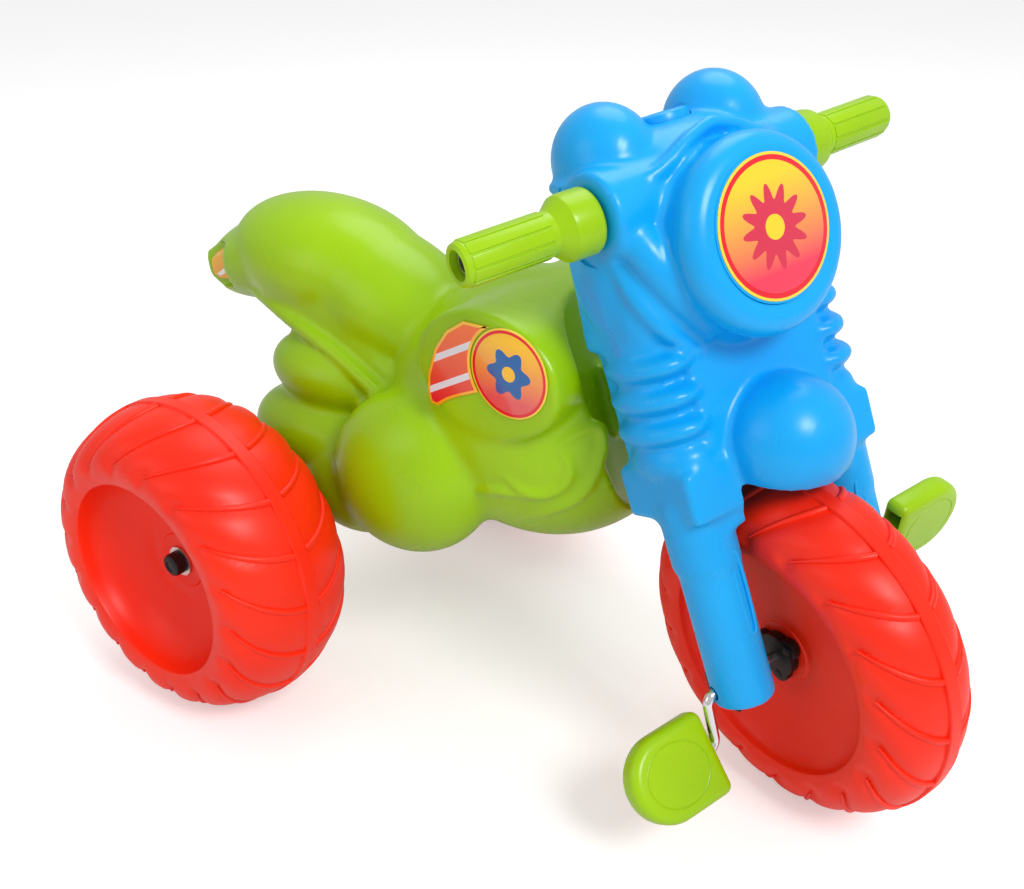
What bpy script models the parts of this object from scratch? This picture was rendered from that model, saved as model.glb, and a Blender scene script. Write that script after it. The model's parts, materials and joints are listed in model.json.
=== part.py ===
"""Children's pedal tricycle: blow-moulded body and fork, three hollow wheels, steel axles.

Frame: metres, +Z up, the front wheel towards -Y, the rider's right towards -X.
The origin is the middle of the bounding box, on the floor.
At rest the fork is turned to the rider's right, the right pedal is down and the left one is up.
Fork parts are placed in the fork's own frame: Z runs up the steering axis and -Y faces forward.
"""
import math

import bmesh
import bpy
from mathutils import Matrix, Vector

# ---- wheels and axles ----
FRONT_WHEEL_RADIUS = 0.120
FRONT_HALF_WIDTH = 0.0376
FRONT_RIM_RADIUS = 0.079
REAR_WHEEL_RADIUS = 0.118
REAR_HALF_WIDTH = 0.0546
REAR_RIM_RADIUS = 0.0742
HUB_RADIUS = 0.026
HUB_HALF_WIDTH = 0.018
TREAD_DROP = 0.019
WHEELBASE = 0.399
HALF_TRACK = 0.1696
REAR_AXLE_RADIUS = 0.005
CRANK_RADIUS = 0.0035
CRANK_THROW = 0.0355
CRANK_BEND = 0.0065
CRANK_ANGLE_AT_REST = math.radians(7)
CAP_RADIUS = 0.0085
CAP_LENGTH = 0.009
FLANGE_RADIUS = 0.019
FLANGE_LENGTH = 0.007

# ---- steering ----
RAKE = math.radians(21.2)
STEER_AT_REST = math.radians(-18.0)
AXLE_LEAD = 0.0072
FRONT_AXLE_HEIGHT = 0.12106
PIN_RADIUS = 0.005
PIN_LOW = 0.140
BAR_HEIGHT = 0.3037
BAR_FORWARD = 0.0195
BAR_SWEEP = 0.0555
BAR_RADIUS = 0.0075
BAR_WALL = 0.0015
TOP_HEIGHT = 0.343
STEERING_CAP_RADIUS = 0.018
STEERING_CAP_HEIGHT = 0.008

# ---- fork ----
LEG_GAP = 0.0025
LEG_RADIUS = 0.0195
LEG_FORWARD = 0.0125
ARCH_GAP = 0.0125
CROWN_HALF_WIDTH = 0.083
FORK_HALF_WIDTH = 0.080
FORK_REAR = 0.026
POCKET_LOW = 0.152
POCKET_HEIGHT = 0.052
POCKET_HALF_WIDTH = 0.046
HOOD_HEIGHT = 0.268
HOOD_RADIUS = 0.058
HOOD_FORWARD = 0.0725
CLIP_LENGTH = 0.027
CLIP_HALF_DEPTH = 0.013
CLIP_DROP = 0.013
CLIP_RISE = 0.011
SCREW_RADIUS = 0.0017
SCREW_HEAD_RADIUS = 0.0032
SCREW_HEAD_LENGTH = 0.0018
SCREW_REACH = 0.024
SCREW_SPREAD = 0.0085

# ---- grips and pedals ----
GRIP_START = 0.079
GRIP_LENGTH = 0.0865
GRIP_RADIUS = 0.0135
COLLAR_RADIUS = 0.0195
COLLAR_LENGTH = 0.026
PEDAL_LENGTH = 0.065
PEDAL_WIDTH = 0.056
PEDAL_THICKNESS = 0.018
PEDAL_TURN_RIGHT = math.radians(-18)
PEDAL_TURN_LEFT = math.radians(31)

# ---- body ----
SEAT_HEIGHT = 0.340
TANK_HEIGHT = 0.327
TANK_HALF_WIDTH = 0.088
SWING_RADIUS = 0.092
TONGUE_HALF_WIDTH = 0.016
TAIL_FLAT_HALF_WIDTH = 0.024
TAIL_SLOPE = math.radians(-18)
EYE_RADIUS = 0.021
AXLE_HOUSING_RADIUS = 0.026
AXLE_HOUSING_GAP = 0.007

# ---- fits ----
WALL = 0.004
GAP = 0.0003
RUNNING_GAP = 0.0006
WASHER_LENGTH = 0.0015
AXLE_WASHER_RADIUS = 0.0115
STICKER_THICKNESS = 0.0008
HEADLIGHT_STICKER_RADIUS = 0.0415
SIDE_STICKER_RADIUS = 0.030
SIDE_STICKER_BACK = 0.176
SIDE_STICKER_HEIGHT = 0.292

# ---- facets ----
WHEEL_SIDES = 24
ROUND_SIDES = 20
SMALL_SIDES = 12

LIME = (0.42, 0.72, 0.0)
BLUE = (0.03, 0.38, 0.85)
RED = (0.95, 0.04, 0.01)
BLACK = (0.02, 0.02, 0.02)
STEEL = (0.75, 0.75, 0.76)
YELLOW = (1.0, 0.65, 0.05)

REAR_AXLE_HEIGHT = REAR_WHEEL_RADIUS
WHEEL_ARCH = FRONT_WHEEL_RADIUS + ARCH_GAP
LEG_INNER = FRONT_HALF_WIDTH + LEG_GAP
LEG_CENTRE = LEG_INNER + LEG_RADIUS
POCKET_HIGH = POCKET_LOW + POCKET_HEIGHT
HOUSING_HALF_WIDTH = HALF_TRACK - REAR_HALF_WIDTH - AXLE_HOUSING_GAP
CRANK_OUT = LEG_CENTRE + LEG_RADIUS


def clear_scene():
    for thing in list(bpy.data.objects):
        bpy.data.objects.remove(thing)


def material(name, colour, roughness, metallic=0.0):
    finish = bpy.data.materials.get(name) or bpy.data.materials.new(name)
    finish.use_nodes = True
    shader = finish.node_tree.nodes["Principled BSDF"]
    shader.inputs["Base Color"].default_value = (*colour, 1.0)
    shader.inputs["Roughness"].default_value = roughness
    shader.inputs["Metallic"].default_value = metallic
    return finish


def empty(name, parent, location=(0, 0, 0), rotation=(0, 0, 0)):
    holder = bpy.data.objects.new(name, None)
    bpy.context.scene.collection.objects.link(holder)
    holder.parent = parent
    holder.location = location
    holder.rotation_euler = rotation
    return holder


def place(name, form, parent, finish=None, location=(0, 0, 0), rotation=(0, 0, 0)):
    """Turn a bmesh into a named object under its parent."""
    mesh = bpy.data.meshes.new(name)
    form.to_mesh(mesh)
    form.free()
    thing = bpy.data.objects.new(name, mesh)
    bpy.context.scene.collection.objects.link(thing)
    thing.parent = parent
    thing.location = location
    thing.rotation_euler = rotation
    if finish:
        mesh.materials.append(finish)
        mesh.shade_smooth()
        mesh.set_sharp_from_angle(angle=math.radians(35))
    return thing


def as_cutter(thing):
    thing.hide_render = True
    thing.display_type = "WIRE"
    return thing


def combine(thing, other, operation):
    boolean = thing.modifiers.new(operation.title() + " " + other.name, "BOOLEAN")
    boolean.operation = operation
    boolean.solver = "EXACT"
    boolean.object = other


def cut(thing, *others):
    for other in others:
        combine(thing, as_cutter(other), "DIFFERENCE")


def join_on(thing, *others):
    for other in others:
        combine(thing, as_cutter(other), "UNION")


def rod(form, start, end, radius, sides=ROUND_SIDES, end_radius=None):
    """Add a round rod or cone between two points."""
    start = Vector(start)
    along = Vector(end) - start
    turn = along.to_track_quat("Z", "Y").to_matrix().to_4x4()
    matrix = Matrix.Translation(start + along / 2) @ turn
    bmesh.ops.create_cone(
        form,
        cap_ends=True,
        segments=sides,
        radius1=radius,
        radius2=radius if end_radius is None else end_radius,
        depth=along.length,
        matrix=matrix,
    )


def rod_object(name, parent, start, end, radius, finish=None, sides=ROUND_SIDES):
    form = bmesh.new()
    rod(form, start, end, radius, sides)
    return place(name, form, parent, finish)


def block_object(name, parent, low, high, finish=None):
    form = bmesh.new()
    low = Vector(low)
    high = Vector(high)
    size = high - low
    matrix = Matrix.Translation((low + high) / 2) @ Matrix.Diagonal((*size, 1.0))
    bmesh.ops.create_cube(form, size=1.0, matrix=matrix)
    return place(name, form, parent, finish)


def turned(profile, sides, closed=True):
    """Spin a profile of (x, radius) points once around the X axis."""
    form = bmesh.new()
    ring = [form.verts.new((x, 0.0, radius)) for x, radius in profile]
    pairs = list(zip(ring, ring[1:]))
    if closed:
        pairs.append((ring[-1], ring[0]))
    edges = [form.edges.new(pair) for pair in pairs]
    bmesh.ops.spin(
        form,
        geom=ring + edges,
        axis=(1, 0, 0),
        cent=(0, 0, 0),
        steps=sides,
        angle=math.tau,
        use_duplicate=False,
    )
    bmesh.ops.remove_doubles(form, verts=form.verts, dist=1e-5)
    bmesh.ops.recalc_face_normals(form, faces=form.faces)
    return form


def sleeve(name, parent, centre, inner, outer, x_low, x_high, finish, sides=ROUND_SIDES):
    """A round tube along X, such as a spacer, a washer or a bush."""
    form = turned([(x_low, inner), (x_low, outer), (x_high, outer), (x_high, inner)], sides)
    return place(name, form, parent, finish, centre)


def blob(name, parent, parts, voxel, keep, inset=0.0, smooth=6):
    """Blend rounded solids into one skin. Each part is shape, centre, half sizes, turn about X."""
    form = bmesh.new()
    for shape, centre, half, turn in parts:
        sides = (1, -1) if centre[0] > 0 else (1,)
        for side in sides:
            size = [max(value - inset, voxel) for value in half]
            matrix = Matrix.Translation((centre[0] * side, centre[1], centre[2]))
            matrix @= Matrix.Rotation(turn, 4, "X")
            matrix @= Matrix.Diagonal((*size, 1.0))
            if shape == "ball":
                bmesh.ops.create_uvsphere(form, u_segments=32, v_segments=20, radius=1, matrix=matrix)
            elif shape == "block":
                bmesh.ops.create_cube(form, size=2.0, matrix=matrix)
            else:
                axis = Matrix.Rotation(math.pi / 2, 4, "Y") if shape == "drum" else Matrix()
                bmesh.ops.create_cone(
                    form,
                    cap_ends=True,
                    segments=32,
                    radius1=1,
                    radius2=1,
                    depth=2,
                    matrix=matrix @ axis,
                )
    thing = place(name, form, parent)
    remesh = thing.modifiers.new("Skin", "REMESH")
    remesh.mode = "VOXEL"
    remesh.voxel_size = voxel
    remesh.adaptivity = 0.0
    soften = thing.modifiers.new("Soften", "SMOOTH")
    soften.factor = 0.5
    soften.iterations = smooth
    thin = thing.modifiers.new("Thin out", "DECIMATE")
    thin.ratio = keep
    return thing


def finish_with(thing, finish):
    thing.data.materials.append(finish)
    thing.data.shade_smooth()


# ---------------------------------------------------------------- body

def body_parts():
    """Solids that blend into the body, in the body's frame with the front axle at Y = 0."""
    rear = WHEELBASE
    low = REAR_AXLE_HEIGHT
    seat = SEAT_HEIGHT - 0.048
    tank = TANK_HEIGHT - 0.096
    middle = rear - 0.187
    wide = TANK_HALF_WIDTH
    return [
        ("ball", (0, middle, tank), (wide - 0.002, 0.106, 0.096), 0.0),
        ("ball", (0, middle + 0.025, tank - 0.008), (wide - 0.010, 0.098, 0.085), 0.0),
        ("drum", (0, middle - 0.012, tank + 0.030), (wide, 0.072, 0.058), 0.0),
        ("block", (0, rear - 0.075, seat - 0.030), (0.044, 0.070, 0.036), 0.0),
        ("ball", (0, rear + 0.018, seat), (0.058, 0.092, 0.048), 0.05),
        ("ball", (0, rear + 0.058, seat - 0.002), (0.050, 0.096, 0.036), -0.33),
        ("block", (0, rear + 0.122, seat - 0.019), (0.027, 0.020, 0.013), -0.3),
        ("block", (0, rear - 0.025, low + 0.090), (0.052, 0.045, 0.055), 0.0),
        ("ball", (0.045, rear - 0.012, low + 0.118), (0.036, 0.034, 0.028), 0.0),
        ("ball", (0.050, rear - 0.008, low + 0.062), (0.048, 0.048, 0.036), 0.0),
        ("ball", (0.068, rear - 0.124, low + 0.068), (0.040, 0.064, 0.058), 0.0),
        ("ball", (0.070, rear - 0.082, low + 0.048), (0.037, 0.058, 0.048), 0.0),
        ("drum", (0, rear, low), (HOUSING_HALF_WIDTH, AXLE_HOUSING_RADIUS, AXLE_HOUSING_RADIUS), 0.0),
    ]


def build_neck(head):
    """The tongue that reaches into the fork's pocket, with an eye round the steering pin."""
    low = POCKET_LOW + WASHER_LENGTH + 2 * GAP
    high = POCKET_HIGH - WASHER_LENGTH - 2 * GAP
    reach = SWING_RADIUS + 0.030
    neck = block_object(
        "neck",
        head,
        (-TONGUE_HALF_WIDTH, 0, low),
        (TONGUE_HALF_WIDTH, reach, high),
    )
    eye = rod_object("neck_eye", head, (0, 0, low), (0, 0, high), EYE_RADIUS, sides=ROUND_SIDES)
    join_on(neck, eye)
    return as_cutter(neck)


def build_body(root, head):
    skin = blob("body_shell", root, body_parts(), 0.008, 0.14)
    hollow = blob("body_hollow", root, body_parts(), 0.010, 0.14, inset=WALL, smooth=9)
    hollow_swing = rod_object(
        "hollow_swing", head, (0, 0, -0.05), (0, 0, 0.5), SWING_RADIUS + WALL, sides=ROUND_SIDES
    )
    cut(hollow, hollow_swing)
    swing = rod_object("swing_room", head, (0, 0, -0.05), (0, 0, 0.5), SWING_RADIUS)
    side = TANK_HALF_WIDTH - 0.001
    flats = [
        block_object("flat_right", root, (-side - 0.05, 0.08, 0.2), (-side, 0.30, 0.4)),
        block_object("flat_left", root, (side, 0.08, 0.2), (side + 0.05, 0.30, 0.4)),
    ]
    end = HOUSING_HALF_WIDTH - 0.001
    faces = [
        block_object(
            "face_right",
            root,
            (-end - 0.03, WHEELBASE - 0.06, 0.05),
            (-end, WHEELBASE + 0.06, 0.2),
        ),
        block_object(
            "face_left",
            root,
            (end, WHEELBASE - 0.06, 0.05),
            (end + 0.03, WHEELBASE + 0.06, 0.2),
        ),
    ]
    for side, name in ((-1, "right"), (1, "left")):
        flats.append(tail_flat("tail_flat_" + name, root, side, TAIL_FLAT_HALF_WIDTH, 0.06))
    cut(skin, *flats, *faces)
    cut(skin, hollow, swing)
    join_on(skin, build_neck(head))
    reach = HALF_TRACK
    bore = rod_object(
        "axle_bore",
        root,
        (-reach, WHEELBASE, REAR_AXLE_HEIGHT),
        (reach, WHEELBASE, REAR_AXLE_HEIGHT),
        REAR_AXLE_RADIUS + GAP,
        sides=SMALL_SIDES,
    )
    eye_bore = rod_object(
        "eye_bore", head, (0, 0, 0.1), (0, 0, 0.3), PIN_RADIUS + RUNNING_GAP, sides=SMALL_SIDES
    )
    cut(skin, bore, eye_bore)
    finish_with(skin, material("lime_plastic", LIME, 0.35))
    return skin


def build_side_stickers(root):
    """A round sticker and a pointed flash on each flat side of the tank."""
    near = TANK_HALF_WIDTH - 0.001 + GAP
    far = near + STICKER_THICKNESS
    for side, name in ((-1, "right"), (1, "left")):
        low, high = sorted((side * near, side * far))
        centre = (0, SIDE_STICKER_BACK, SIDE_STICKER_HEIGHT)
        rod_object(
            "side_disc_sticker_" + name,
            root,
            (low, centre[1], centre[2]),
            (high, centre[1], centre[2]),
            SIDE_STICKER_RADIUS,
            material("printed_film", YELLOW, 0.3),
        )
        radius = SIDE_STICKER_RADIUS + 0.0012
        arc = [math.radians(angle) for angle in range(-38, 63, 20)]
        outline = [(radius * math.cos(a), radius * math.sin(a)) for a in arc]
        outline += [(0.045, 0.022), (0.061, 0.0), (0.067, -0.024), (0.063, -0.040), (0.043, -0.030)]
        red_film = material("flash_film", RED, 0.3)
        flash = sheet("side_flash_sticker_" + name, root, outline, low, high, red_film)
        flash.location = (0, centre[1], centre[2])


def tail_flat(name, root, side, near, far):
    """A slab beside the end of the tail, turned with the tail's slope."""
    low, high = sorted((side * near, side * far))
    slab = block_object(name, root, (low, -0.030, -0.024), (high, 0.024, 0.026))
    slab.location = tail_end()
    slab.rotation_euler = (TAIL_SLOPE, 0, 0)
    return slab


def tail_end():
    return (0, WHEELBASE + 0.117, SEAT_HEIGHT - 0.065)


def build_tail_stickers(root):
    near = TAIL_FLAT_HALF_WIDTH + GAP
    for side, name in ((-1, "right"), (1, "left")):
        low, high = sorted((side * near, side * (near + STICKER_THICKNESS)))
        outline = [
            (-0.020, -0.006),
            (0.004, -0.014),
            (0.019, -0.008),
            (0.016, 0.004),
            (-0.004, 0.011),
        ]
        film = material("printed_film", YELLOW, 0.3)
        sticker = sheet("tail_sticker_" + name, root, outline, low, high, film)
        sticker.location = tail_end()
        sticker.rotation_euler = (TAIL_SLOPE, 0, 0)


def sheet(name, parent, outline, low, high, finish):
    """A thin flat film across X, cut to an outline of (y, z) points."""
    form = bmesh.new()
    verts = [form.verts.new((low, y, z)) for y, z in outline]
    face = form.faces.new(verts)
    made = bmesh.ops.extrude_face_region(form, geom=[face])
    moved = [item for item in made["geom"] if isinstance(item, bmesh.types.BMVert)]
    bmesh.ops.translate(form, verts=moved, vec=(high - low, 0, 0))
    bmesh.ops.recalc_face_normals(form, faces=form.faces)
    return place(name, form, parent, finish)


# ---------------------------------------------------------------- fork

def fork_parts():
    """Solids that blend into the fork, in the fork's frame."""
    middle = POCKET_LOW + POCKET_HEIGHT / 2
    return [
        ("block", (0, -0.007, middle + 0.020), (0.054, 0.030, 0.095), 0.0),
        ("block", (0, FORK_REAR - 0.017, 0.225), (FORK_HALF_WIDTH - 0.004, 0.017, 0.085), 0.0),
        ("tube", (0.061, -0.006, middle), (0.025, 0.028, 0.036), 0.0),
        ("block", (0, -0.005, WHEEL_ARCH - 0.002), (CROWN_HALF_WIDTH, 0.034, 0.016), 0.0),
        ("ball", (0, -0.050, WHEEL_ARCH + 0.019), (0.044, 0.044, 0.044), 0.0),
        ("tube", (0, -0.040, HOOD_HEIGHT), (HOOD_RADIUS, HOOD_RADIUS, HOOD_FORWARD - 0.0385), math.pi / 2),
        ("ball", (0, -0.020, HOOD_HEIGHT), (HOOD_RADIUS + 0.001, 0.042, HOOD_RADIUS + 0.004), 0.0),
        ("block", (0, 0.0, TOP_HEIGHT - 0.038), (0.060, 0.034, 0.038), 0.0),
        ("ball", (0.0425, 0.004, TOP_HEIGHT - 0.006), (0.0315, 0.032, 0.027), 0.0),
        ("drum", (0, 0.0035 - BAR_FORWARD, BAR_HEIGHT), (GRIP_START - GAP, 0.027, 0.027), 0.0),
        ("tube", (LEG_CENTRE, -LEG_FORWARD, 0.062), (LEG_RADIUS, LEG_RADIUS + 0.001, 0.072), 0.0),
    ]


def arch_cutter(name, steering, extra):
    return rod_object(
        name,
        steering,
        (-LEG_INNER - extra, -AXLE_LEAD, 0),
        (LEG_INNER + extra, -AXLE_LEAD, 0),
        WHEEL_ARCH + extra,
        sides=WHEEL_SIDES,
    )


def pocket_cutter(name, steering, extra):
    low = (-POCKET_HALF_WIDTH - extra, -EYE_RADIUS - 0.002 - extra, POCKET_LOW - extra)
    high = (POCKET_HALF_WIDTH + extra, 0.08, POCKET_HIGH + extra)
    return block_object(name, steering, low, high)


def clip_box(name, steering, side, gap):
    inner = LEG_CENTRE - CLIP_LENGTH / 2 - gap
    outer = LEG_CENTRE + CLIP_LENGTH / 2 + gap
    x_low, x_high = sorted((side * inner, side * outer))
    low = (x_low, -AXLE_LEAD - CLIP_HALF_DEPTH - gap, -CLIP_DROP - gap)
    high = (x_high, -AXLE_LEAD + CLIP_HALF_DEPTH + gap, CLIP_RISE + gap)
    return block_object(name, steering, low, high)


def build_fork(steering):
    skin = blob("fork_shell", steering, fork_parts(), 0.007, 0.16)
    finish_with(skin, material("blue_plastic", BLUE, 0.35))
    hollow = blob("fork_hollow", steering, fork_parts(), 0.008, 0.13, inset=WALL, smooth=9)
    jacket_end = TOP_HEIGHT + 0.05
    cut(
        hollow,
        arch_cutter("arch_wall", steering, WALL),
        pocket_cutter("pocket_wall", steering, WALL),
        rod_object("pin_wall", steering, (0, 0, 0.1), (0, 0, jacket_end), PIN_RADIUS + WALL),
    )
    cut(skin, hollow)
    face = -HOOD_FORWARD
    cut(
        skin,
        block_object(
            "hood_flat",
            steering,
            (-0.1, face - 0.05, HOOD_HEIGHT - HOOD_RADIUS - 0.002),
            (0.1, face, HOOD_HEIGHT + 0.1),
        ),
        arch_cutter("wheel_arch", steering, 0.0),
        pocket_cutter("neck_pocket", steering, 0.0),
    )
    bore = PIN_RADIUS + GAP
    cut(skin, rod_object("pin_bore", steering, (0, 0, PIN_LOW - GAP), (0, 0, 0.5), bore))
    seat_low = TOP_HEIGHT - 0.003
    cut(
        skin,
        rod_object(
            "cap_seat", steering, (0, 0, seat_low), (0, 0, 0.5), STEERING_CAP_RADIUS + GAP
        ),
    )
    for side, name in ((-1, "right"), (1, "left")):
        cut(skin, bar_socket("bar_bore_" + name, steering, side))
        cut(skin, clip_box("clip_seat_" + name, steering, side, GAP))
        end = side * (CRANK_OUT + 0.01)
        start = side * (LEG_INNER - 0.01)
        low, high = sorted((start, end))
        crank_way = rod_object(
            "crank_way_" + name,
            steering,
            (low, -AXLE_LEAD, 0),
            (high, -AXLE_LEAD, 0),
            CRANK_RADIUS + 2 * RUNNING_GAP,
            sides=SMALL_SIDES,
        )
        cut(skin, crank_way)
        for across in (-1, 1):
            cut(skin, screw_rod("screw_way", steering, side, across, SCREW_RADIUS + GAP))
    return skin


def bar_point(side, along):
    """A point on the handlebar's centre line, swept back towards its ends."""
    return Vector((side * along, BAR_SWEEP * along - BAR_FORWARD, BAR_HEIGHT))


def bar_socket(name, steering, side):
    """Bore for the bar, with a flat face where the grip's collar meets the fork."""
    start = bar_point(side, 0.0) - bar_point(side, 0.002) + bar_point(side, 0.0)
    bore = rod_object(name, steering, start, bar_point(side, 0.25), BAR_RADIUS + GAP)
    shoulder = rod_object(
        name + "_face", steering, bar_point(side, GRIP_START - GAP), bar_point(side, 0.2), 0.05
    )
    join_on(bore, shoulder)
    return bore


def screw_rod(name, steering, side, across, radius):
    x = side * LEG_CENTRE
    y = -AXLE_LEAD + across * SCREW_SPREAD
    low = (x, y, -CLIP_DROP - 0.001)
    high = (x, y, SCREW_REACH + 0.006)
    return rod_object(name, steering, low, high, radius, sides=SMALL_SIDES)


def build_clips(steering):
    """Black bearing blocks that hold the crank axle up in the leg ends, two screws each."""
    for side, name in ((-1, "right"), (1, "left")):
        clip = clip_box("axle_clip_" + name, steering, side, 0.0)
        low, high = sorted((side * (LEG_INNER - 0.01), side * (CRANK_OUT + 0.01)))
        bore = rod_object(
            "clip_bore_" + name,
            steering,
            (low, -AXLE_LEAD, 0),
            (high, -AXLE_LEAD, 0),
            CRANK_RADIUS + RUNNING_GAP,
            sides=SMALL_SIDES,
        )
        cut(clip, bore)
        for across in (-1, 1):
            cut(clip, screw_rod("clip_hole", steering, side, across, SCREW_RADIUS + GAP))
        clip.data.materials.append(material("black_plastic", BLACK, 0.45))
        for across, end in ((-1, "front"), (1, "rear")):
            x = side * LEG_CENTRE
            y = -AXLE_LEAD + across * SCREW_SPREAD
            head_top = -CLIP_DROP - GAP
            profile = [
                (head_top - SCREW_HEAD_LENGTH, 0.0),
                (head_top - SCREW_HEAD_LENGTH, SCREW_HEAD_RADIUS),
                (head_top, SCREW_HEAD_RADIUS),
                (head_top, SCREW_RADIUS),
                (SCREW_REACH, SCREW_RADIUS),
                (SCREW_REACH, 0.0),
            ]
            screw = turned(profile, SMALL_SIDES, closed=False)
            turn = Matrix.Translation((x, y, 0)) @ Matrix.Rotation(-math.pi / 2, 4, "Y")
            screw.transform(turn)
            steel = material("zinc_steel", STEEL, 0.35, 1.0)
            place("clip_screw_" + name + "_" + end, screw, steering, steel)


def build_steering(steering):
    """Pin, thrust washers and cap on the steering axis, and the headlight sticker."""
    steel = material("zinc_steel", STEEL, 0.35, 1.0)
    top = TOP_HEIGHT - 0.003 - GAP
    rod_object("steering_pin", steering, (0, 0, PIN_LOW), (0, 0, top), PIN_RADIUS, steel, SMALL_SIDES)
    bore = PIN_RADIUS + RUNNING_GAP
    for name, low in (("lower", POCKET_LOW + GAP), ("upper", POCKET_HIGH - GAP - WASHER_LENGTH)):
        form = turned(
            [
                (low, bore),
                (low, EYE_RADIUS - 0.003),
                (low + WASHER_LENGTH, EYE_RADIUS - 0.003),
                (low + WASHER_LENGTH, bore),
            ],
            SMALL_SIDES,
        )
        form.transform(Matrix.Rotation(-math.pi / 2, 4, "Y"))
        place("steering_washer_" + name, form, steering, steel)
    seat = TOP_HEIGHT - 0.003 + GAP
    crown = seat + STEERING_CAP_HEIGHT
    form = turned(
        [
            (seat, 0.0),
            (seat, STEERING_CAP_RADIUS),
            (crown - 0.003, STEERING_CAP_RADIUS),
            (crown - 0.001, STEERING_CAP_RADIUS - 0.002),
            (crown, 0.6 * STEERING_CAP_RADIUS),
            (crown, 0.0),
        ],
        ROUND_SIDES,
        closed=False,
    )
    form.transform(Matrix.Rotation(-math.pi / 2, 4, "Y"))
    place("steering_cap", form, steering, material("blue_plastic", BLUE, 0.35))
    front = -HOOD_FORWARD - GAP
    rod_object(
        "headlight_sticker",
        steering,
        (0, front - STICKER_THICKNESS, HOOD_HEIGHT + 0.003),
        (0, front, HOOD_HEIGHT + 0.003),
        HEADLIGHT_STICKER_RADIUS,
        material("printed_film", YELLOW, 0.3),
        WHEEL_SIDES,
    )


def build_handlebar(steering):
    """A tube bent in the middle, and a grip with a collar on each half."""
    form = bmesh.new()
    loops = []
    ends = GRIP_START + GRIP_LENGTH - 0.006
    stations = [bar_point(-1, ends), bar_point(1, 0.0), bar_point(1, ends)]
    for radius in (BAR_RADIUS, BAR_RADIUS - BAR_WALL):
        for station in stations:
            loop = []
            for step in range(SMALL_SIDES):
                angle = math.tau * step / SMALL_SIDES
                around = Vector((0, radius * math.cos(angle), radius * math.sin(angle)))
                loop.append(form.verts.new(station + around))
            loops.append(loop)
    order = [0, 1, 2, 5, 4, 3, 0]
    for first, second in zip(order, order[1:]):
        for step in range(SMALL_SIDES):
            after = (step + 1) % SMALL_SIDES
            form.faces.new(
                (loops[first][step], loops[first][after], loops[second][after], loops[second][step])
            )
    bmesh.ops.recalc_face_normals(form, faces=form.faces)
    place("handlebar_tube", form, steering, material("zinc_steel", STEEL, 0.35, 1.0))
    bore = BAR_RADIUS + GAP
    end = GRIP_START + GRIP_LENGTH
    profile = [
        (GRIP_START, bore),
        (GRIP_START, COLLAR_RADIUS - 0.001),
        (GRIP_START + 0.002, COLLAR_RADIUS),
        (GRIP_START + COLLAR_LENGTH - 0.006, COLLAR_RADIUS),
        (GRIP_START + COLLAR_LENGTH, GRIP_RADIUS),
        (end - 0.002, GRIP_RADIUS),
        (end, GRIP_RADIUS - 0.002),
        (end, bore),
    ]
    for side, name in ((-1, "right"), (1, "left")):
        holder = empty("bar_" + name, steering, bar_point(side, 0.0), (0, 0, side * math.atan(BAR_SWEEP)))
        form = turned([(side * x, r) for x, r in profile], ROUND_SIDES)
        place("grip_" + name, form, holder, material("lime_plastic", LIME, 0.35))


# ---------------------------------------------------------------- wheels

def wheel_section(radius, half_width, rim):
    """Closed section of a hollow wheel: outer skin, then the cavity, which opens at the bore."""
    bore = REAR_AXLE_RADIUS + RUNNING_GAP
    shoulder = [
        (0.3 * half_width, radius),
        (0.6 * half_width, radius - 0.30 * TREAD_DROP),
        (0.88 * half_width, radius - 0.95 * TREAD_DROP),
        (half_width, radius - 1.75 * TREAD_DROP),
        (half_width - 0.001, rim),
    ]
    dish = [
        (HUB_HALF_WIDTH + 0.3 * (half_width - HUB_HALF_WIDTH), HUB_RADIUS + 0.75 * (rim - HUB_RADIUS)),
        (HUB_HALF_WIDTH, HUB_RADIUS),
        (HUB_HALF_WIDTH, bore),
    ]
    inside = [
        (0.3 * half_width, radius - WALL),
        (0.85 * half_width - WALL, radius - 0.95 * TREAD_DROP - WALL),
        (half_width - WALL, radius - 1.75 * TREAD_DROP),
        (half_width - 1.5 * WALL, rim + WALL),
        (HUB_HALF_WIDTH, HUB_RADIUS + 0.75 * (rim - HUB_RADIUS) + WALL),
        (HUB_HALF_WIDTH - WALL, HUB_RADIUS + WALL),
        (HUB_HALF_WIDTH - WALL, bore),
    ]
    right = shoulder + dish
    section = [(-x, r) for x, r in reversed(right)] + right
    return section + list(reversed(inside)) + [(-x, r) for x, r in inside]


def build_wheel(name, parent, radius, half_width, rim):
    """A wheel whose facets, not their corners, stand at the radius, one of them underneath."""
    form = turned(wheel_section(radius, half_width, rim), WHEEL_SIDES)
    half_facet = math.pi / WHEEL_SIDES
    grow = 1 / math.cos(half_facet)
    form.transform(Matrix.Rotation(half_facet, 4, "X") @ Matrix.Diagonal((1.0, grow, grow, 1.0)))
    return place(name, form, parent, material("red_plastic", RED, 0.4))


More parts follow.
